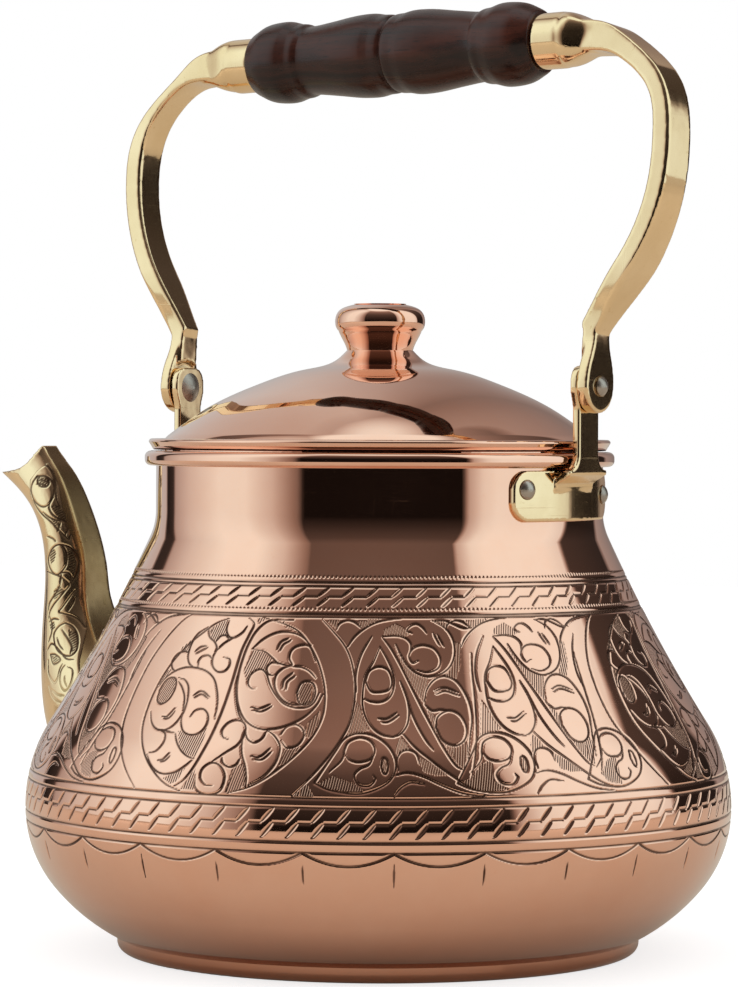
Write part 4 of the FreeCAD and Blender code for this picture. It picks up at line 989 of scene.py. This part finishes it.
class TEAPOT_OT_studio(bpy.types.Operator):
    """White table, studio surroundings and the camera"""
    bl_idname = "teapot.studio"
    bl_label = "Studio"

    def table(self):
        top = bmesh.new()
        bmesh.ops.create_grid(top, x_segments=4, y_segments=4, size=2.0)
        mesh = bpy.data.meshes.new("Table top")
        top.to_mesh(mesh)
        top.free()
        table = bpy.data.objects.new("Table top", mesh)
        bpy.context.scene.collection.objects.link(table)
        mesh.materials.append(finish("White table", table_shade))

    def surroundings(self):
        """White to the camera; to the metal, soft boxes at both sides and a dark room behind the camera."""
        studio = bpy.context.scene.teapot_studio
        world = bpy.data.worlds.new("Studio")
        bpy.context.scene.world = world
        world.use_nodes = True
        tree = world.node_tree
        tree.nodes.clear()
        way = add(tree, "ShaderNodeTexCoord").outputs["Generated"]
        turned = stretched(tree, way, (1, 1, 1), (0, 0, -studio.turn))
        split = add(tree, "ShaderNodeSeparateXYZ", {0: turned}).outputs
        turn = maths(tree, "ARCTAN2", split["Y"], split["X"])
        turn = maths(tree, "MULTIPLY_ADD", turn, 0.5 / math.pi, 0.5)

        def at(degrees):
            return degrees / 360 + 0.5
        left = ((-180, 0.42), (-168, 0.54), (-142, 0.5), (-140, 0.015), (-131, 0.04), (-129, 0.42),
                (-114, 0.64), (-90, 0.86), (-72, 0.86), (-56, 0.62), (-42, 0.22), (-39, 0.008))
        right = ((43, 0.008), (46, 0.5), (54, 0.78), (62, 0.86), (98, 0.86), (108.5, 0.74),
                 (111.5, 0.02), (142, 0.02), (146, 0.34), (166, 0.22), (180, 0.42))
        boxes = ramp(tree, turn, *((at(degrees), level) for degrees, level in left + right))
        above = ramp(tree, split["Z"], (0, 0.93), (0.5, 1), (0.9, 1), (0.99, 0.7))
        ceiling = ramp(tree, split["Z"], (0, 0.006), (0.3, 0.035), (0.6, 0.075), (0.8, 0.16), (0.9, 0.28),
                       (0.93, 0.36), (0.965, 0.85))
        light = maths(tree, "MAXIMUM", times(tree, boxes, above), ceiling)
        warm, cool = (tuple(part * studio.box_light for part in shade) + (1,)
                      for shade in ((1.05, 0.84, 0.76), (1.1, 1.3, 1.34)))
        tone = mixed(tree, ramp(tree, light, (0.25, 0), (0.8, 1)), warm, cool)
        light = mixed(tree, light, grey(0), tone)
        rays = add(tree, "ShaderNodeLightPath").outputs
        metal = mixed(tree, rays["Is Glossy Ray"], grey(0.86), light)
        seen = mixed(tree, rays["Is Camera Ray"], metal, grey(1))
        background = add(tree, "ShaderNodeBackground", {"Color": seen, "Strength": 1.0})
        add(tree, "ShaderNodeOutputWorld", {"Surface": background.outputs["Background"]})

    def lamps(self):
        studio = bpy.context.scene.teapot_studio
        middle, away = Vector((0, 0, 0.1)), 1.3
        for name, turn, rise, power, width in (("Left soft box", -75, 0.75, 5.0, 0.9),
                                               ("Right soft box", 68, 0.7, 4.0, 0.8)):
            lamp = bpy.data.lights.new(name, "AREA")
            lamp.shape = "SQUARE"
            lamp.size = width
            lamp.energy = power
            holder = bpy.data.objects.new(name, lamp)
            bpy.context.scene.collection.objects.link(holder)
            angle = studio.turn + math.radians(turn)
            holder.location = (away * math.cos(angle), away * math.sin(angle), rise)
            aim = middle - holder.location
            holder.rotation_euler = aim.to_track_quat("-Z", "Y").to_euler()
            holder.visible_glossy = False

    def camera(self):
        """A long lens level with the pot's neck, at the photograph's viewing angle."""
        film, focal_pixels, picture_height = 36.0, 3917.0, 987.0
        studio = bpy.context.scene.teapot_studio
        lens = bpy.data.cameras.new("Camera")
        lens.sensor_fit = "VERTICAL"
        lens.sensor_height = film
        lens.lens = film * focal_pixels / picture_height
        lens.clip_start = 0.05
        camera = bpy.data.objects.new("Camera", lens)
        bpy.context.scene.collection.objects.link(camera)
        camera.location = (studio.distance * math.cos(studio.turn), studio.distance * math.sin(studio.turn),
                           studio.height)
        aim = Vector((-2.22 * MM, -1.50 * MM, 116.3 * MM)) - camera.location
        roll = Quaternion((0, 0, 1), math.radians(0.21))
        camera.rotation_euler = (aim.to_track_quat("-Z", "Y") @ roll).to_euler()
        bpy.context.scene.camera = camera

    def execute(self, context):
        context.scene.view_settings.view_transform = "Standard"
        self.table()
        self.surroundings()
        self.lamps()
        self.camera()
        return {"FINISHED"}


class TEAPOT_OT_body(bpy.types.Operator):
    """Spun copper body with its engraved bands, and the lining with its strainer"""
    bl_idname = "teapot.body"
    bl_label = "Engraved body"

    def lining(self, material):
        """The CAD body without its outer skin, which the engraved pieces stand for."""
        skin_gap, skin_foot, skin_head = 0.06, 1.7, 123.5
        bead_across, bead_foot = 57.8, 123.3
        inside = bmesh.new()
        inside.from_mesh(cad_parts["body_shell"].data)
        bmesh.ops.remove_doubles(inside, verts=inside.verts, dist=2e-6)
        outer = []
        for face in inside.faces:
            corners = [(math.hypot(corner.co.x, corner.co.y) / MM, corner.co.z / MM)
                       for corner in face.verts]
            on_skin = all(abs(across - np.interp(height, side["height"], side["across"])) < skin_gap
                          and skin_foot < height < skin_head for across, height in corners)
            on_bead = all(across > bead_across and height > bead_foot for across, height in corners)
            middle = face.calc_center_median()
            outward = face.normal.x * middle.x + face.normal.y * middle.y
            if on_bead or on_skin and outward > 0:
                outer.append(face)
        bmesh.ops.delete(inside, geom=outer, context="FACES")
        mesh = bpy.data.meshes.new("Pot lining")
        inside.to_mesh(mesh)
        inside.free()
        mesh.shade_smooth()
        mesh.set_sharp_from_angle(angle=math.radians(32))
        new_piece("Pot_lining", mesh, "pot", material, ("body_shell",))

    def execute(self, context):
        cuts = context.scene.teapot_engraving
        engraved = finish("Engraved copper", copper_shade, engraved=True, rings=0.004)
        spun = spun_copper()
        self.lining(spun)
        lines, grounds = scroll_work()
        sectors, belly, plain_step = 8, 90, 0.8
        step = cuts.step / MM
        columns = int(math.radians(360 / sectors) * belly / step)
        rows = int((band_top - band_foot) / step)
        for sector in range(sectors):
            first = -180 + sector * 360 / sectors
            mesh = skin_mesh("Engraved band", (first, first + 360 / sectors), columns,
                             (band_foot, band_top), rows,
                             lambda turns, runs: engraving(turns, runs, lines, grounds))
            new_piece(f"Engraved_band_{sector + 1}", mesh, "pot", engraved, ("body_shell",))

        def plain(turns, runs):
            return np.zeros((len(turns), len(runs))), {}
        low, high = side["run"][0], side["run"][-1]
        for name, foot, top in (("Lower_belly", low, band_foot), ("Neck", band_top, high)):
            mesh = skin_mesh(name, (-180, 180), 512, (foot, top),
                             int((top - foot) / plain_step), plain)
            new_piece(name, mesh, "pot", spun, ("body_shell",))
        thick = 1.5
        edge = 59.9 - thick
        bead = np.vstack(([(57, 123.4)], arc_points((edge, 124.9), thick, -math.pi / 2, 0)[::2],
                          arc_points((edge, 125.6), thick, 0, math.pi / 2)[::2], [(57.9, 127.1)]))
        new_piece("Rim_bead", turned_mesh("Rim bead", bead), "pot", spun, ("body_shell",))
        dressed_copy("Base_pan", "base_plate", "pot", spun)
        return {"FINISHED"}


class TEAPOT_OT_spout(bpy.types.Operator):
    """Cast brass spout with carved leaf panels"""
    bl_idname = "teapot.spout"
    bl_label = "Carved spout"

    def panel(self, hand, skin, material):
        """The carving on one side, laid on the spout where rays from that side meet it."""
        step, reach, facing = 0.24, 0.04, 0.28
        xs, zs = np.arange(-111, -82, step), np.arange(55, 125, step)
        flat = np.ones(len(zs))
        edge = nearest_line(xs, zs, flat, [spout_panel], 1.5) * inside_outline(xs, zs, spout_panel)
        away = nearest_line(xs, zs, flat, [smooth_curve(points) for points in spout_cuts], 0.6)
        fade = np.interp(zs, (63, 70), (0, 1))
        rise = np.interp(edge, (0, 0.25, 0.8), (-0.06, 0.1, 0.26)) * fade + 0.03 * (1 - fade)
        deep = cut(away, 0.62)
        hatch = np.zeros_like(deep)
        pitch = 0.62
        offset = (xs[:, None] * 0.5 - zs * 0.86) / pitch
        stripes = 0.25 + 0.75 * cut(np.abs(offset - np.round(offset)) * pitch, 0.45)
        for ground in spout_grounds:
            hatch = np.maximum(hatch, inside_outline(xs, zs, ground) * stripes)
        sunk = np.maximum(deep * 0.21, hatch * 0.14)
        shade = np.maximum(np.maximum(deep, hatch * 0.85), np.interp(edge, (0.1, 0.5), (0.8, 0)) * fade)
        mesh, column, row = grid_mesh("Spout panel", len(xs) - 1, len(zs) - 1)
        places = np.zeros((len(column), 3))
        met = edge[column, row] > 0
        for at, (x, z, lift) in enumerate(zip(xs[column], zs[row], (rise - sunk)[column, row])):
            if not met[at]:
                continue
            start = Vector((x * MM, hand * reach, z * MM))
            spot, normal = skin.ray_cast(start, Vector((0, -hand, 0)), reach)[:2]
            met[at] = spot is not None and normal.y * hand > facing
            if met[at]:
                places[at] = spot.x, spot.y + hand * lift * MM, spot.z
        mesh.vertices.foreach_set("co", places.astype(np.float32).ravel())
        layer = mesh.attributes.new("patina", "FLOAT", "POINT")
        layer.data.foreach_set("value", shade[column, row].astype(np.float32))
        carved = bmesh.new()
        carved.from_mesh(mesh)
        carved.verts.ensure_lookup_table()
        bmesh.ops.delete(carved, geom=[carved.verts[at] for at in np.flatnonzero(~met)], context="VERTS")
        if hand > 0:
            bmesh.ops.reverse_faces(carved, faces=carved.faces)
        carved.to_mesh(mesh)
        carved.free()
        mesh.shade_smooth()
        name = f"Spout_carving_{'left' if hand > 0 else 'right'}"
        new_piece(name, mesh, "pot", material, ("spout",))

    def execute(self, context):
        cast_copy("Swan_neck_spout", "spout", "pot",
                  finish("Spout brass", brass_shade, dull_back=True), 0.45, 3)
        whole = bmesh.new()
        whole.from_mesh(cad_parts["spout"].data)
        skin = BVHTree.FromBMesh(whole)
        whole.free()
        for hand in (-1, 1):
            self.panel(hand, skin, finish("Carved brass", brass_shade, carved=True))
        return {"FINISHED"}


class TEAPOT_OT_brackets(bpy.types.Operator):
    """Brass hinge brackets with their pins and rivets"""
    bl_idname = "teapot.brackets"
    bl_label = "Brackets"

    def execute(self, context):
        for end in ("rear", "front"):
            cast_copy(f"{end.title()}_bracket", f"{end}_bracket", "pot", cast_brass(), 0.3, 4)
            for node in ("hinge_pin", "rivet_left", "rivet_right"):
                dressed_copy(f"{end.title()}_{node}", f"{end}_{node}", "pot", worn_steel())
        return {"FINISHED"}


class TEAPOT_OT_handle(bpy.types.Operator):
    """Brass arms, turned wooden grip and the rod that ties them"""
    bl_idname = "teapot.handle"
    bl_label = "Handle"

    def shoulder(self, end):
        """Sections of a ferrule that runs out into its arm, from round to nearly square."""
        start, finish, first, second = {"rear": (50.2, 59.5, (9.1, 230.2), (9.1, 230.2)),
                                        "front": (-51.2, -60.5, (8.95, 228.45), (9.05, 227.7))}[end]
        radius, narrower, flatter = 6.95, 2.2, 2.95
        turns = np.linspace(0, 2 * math.pi, 40, endpoint=False)
        sections = []
        for share in np.linspace(0, 1, 8):
            eased_share = share * share * (3 - 2 * share)
            wide, high = radius - narrower * eased_share, radius - flatter * eased_share
            power = 2 / (2 + 4 * share)
            aside = wide * np.sign(np.cos(turns)) * np.abs(np.cos(turns)) ** power
            rise = high * np.sign(np.sin(turns)) * np.abs(np.sin(turns)) ** power
            middle = np.array(first) + (np.array(second) - first) * share
            sections.append([(start + (finish - start) * share, middle[0] + y, middle[1] + z)
                             for y, z in zip(aside, rise)])
        return sections

    def execute(self, context):
        for end, twist in (("rear", 0.105), ("front", -0.045)):
            cast_copy(f"{end.title()}_arm", f"{end}_arm", "handle", cast_brass(), 0.36, 5,
                      self.shoulder(end), twist)
        dressed_copy("Turned_grip", "handle_grip", "handle", finish("Turned rosewood", wood_shade))
        dressed_copy("Tie_rod", "handle_rod", "handle", worn_steel())
        return {"FINISHED"}


class TEAPOT_OT_lid(bpy.types.Operator):
    """Domed copper lid with its collar, turned knob and screw"""
    bl_idname = "teapot.lid"
    bl_label = "Lid and knob"

    def dome(self):
        """The lid's sheet: under the crown, out over its edge and back to the crown."""
        def sheet(inset):
            foot = np.array((54.0, 131.0))
            size = np.array((-45.5, 21.8))
            shares = ((0, 0), (0.226, 0.33), (0.516, 0.61), (0.758, 0.772), (0.943, 0.89), (1, 1))
            line = spline_points(foot + size * shares)
            way = np.gradient(line, axis=0)
            way /= np.linalg.norm(way, axis=1, keepdims=True)
            return line - np.column_stack((way[:, 1], -way[:, 0])) * inset
        inner, outer = sheet(1.0)[::-1], sheet(0)
        edge = arc_points((58.1, 129.4), 0.8, 0, math.pi / 2)
        lip = ((inner[-1][0], 129.2), (56.7, 129.2), (56.7, 127.4), (57.7, 127.4))
        outline = np.vstack(([(2.05, 152.8), (2.05, 151.8), (inner[0][0], 151.8)], inner[1:], lip, edge[::2],
                             [(56.9, 130.2), (56.7, 130.05), (56.5, 130.2), (54.8, 130.2)], outer,
                             [(2.05, 152.8)]))
        return eased(outline, 0.2)

    def execute(self, context):
        spun = spun_copper()
        new_piece("Lid_dome", turned_mesh("Lid dome", self.dome(), 240), "lid", spun, ("lid_dome",))
        for node in ("lid_collar", "lid_knob"):
            dressed_copy(node.capitalize(), node, "lid", spun)
        for node in ("knob_washer", "knob_screw"):
            dressed_copy(node.capitalize(), node, "lid", worn_steel())
        return {"FINISHED"}


steps = (TEAPOT_OT_studio, TEAPOT_OT_body, TEAPOT_OT_spout, TEAPOT_OT_brackets, TEAPOT_OT_handle,
         TEAPOT_OT_lid)


class TEAPOT_PT_sidebar(bpy.types.Panel):
    """The teapot's pieces and settings"""
    bl_label = "Engraved teapot"
    bl_idname = "TEAPOT_PT_sidebar"
    bl_space_type = "VIEW_3D"
    bl_region_type = "UI"
    bl_category = "Teapot"

    def draw(self, context):
        for name, group in settings_groups:
            box = self.layout.box()
            for label in group.__annotations__:
                box.prop(getattr(context.scene, name), label)
        for step in steps:
            self.layout.operator(step.bl_idname)


def register():
    for name, group in settings_groups:
        bpy.utils.register_class(group)
        setattr(bpy.types.Scene, name, bpy.props.PointerProperty(type=group))
    for step in steps + (TEAPOT_PT_sidebar,):
        bpy.utils.register_class(step)


def unregister():
    for step in reversed(steps + (TEAPOT_PT_sidebar,)):
        bpy.utils.unregister_class(step)
    for name, group in settings_groups:
        delattr(bpy.types.Scene, name)
        bpy.utils.unregister_class(group)


def main():
    register()
    bpy.ops.teapot.studio()
    bpy.ops.teapot.body()
    bpy.ops.teapot.spout()
    bpy.ops.teapot.brackets()
    bpy.ops.teapot.handle()
    bpy.ops.teapot.lid()


if __name__ == "__main__":
    main()
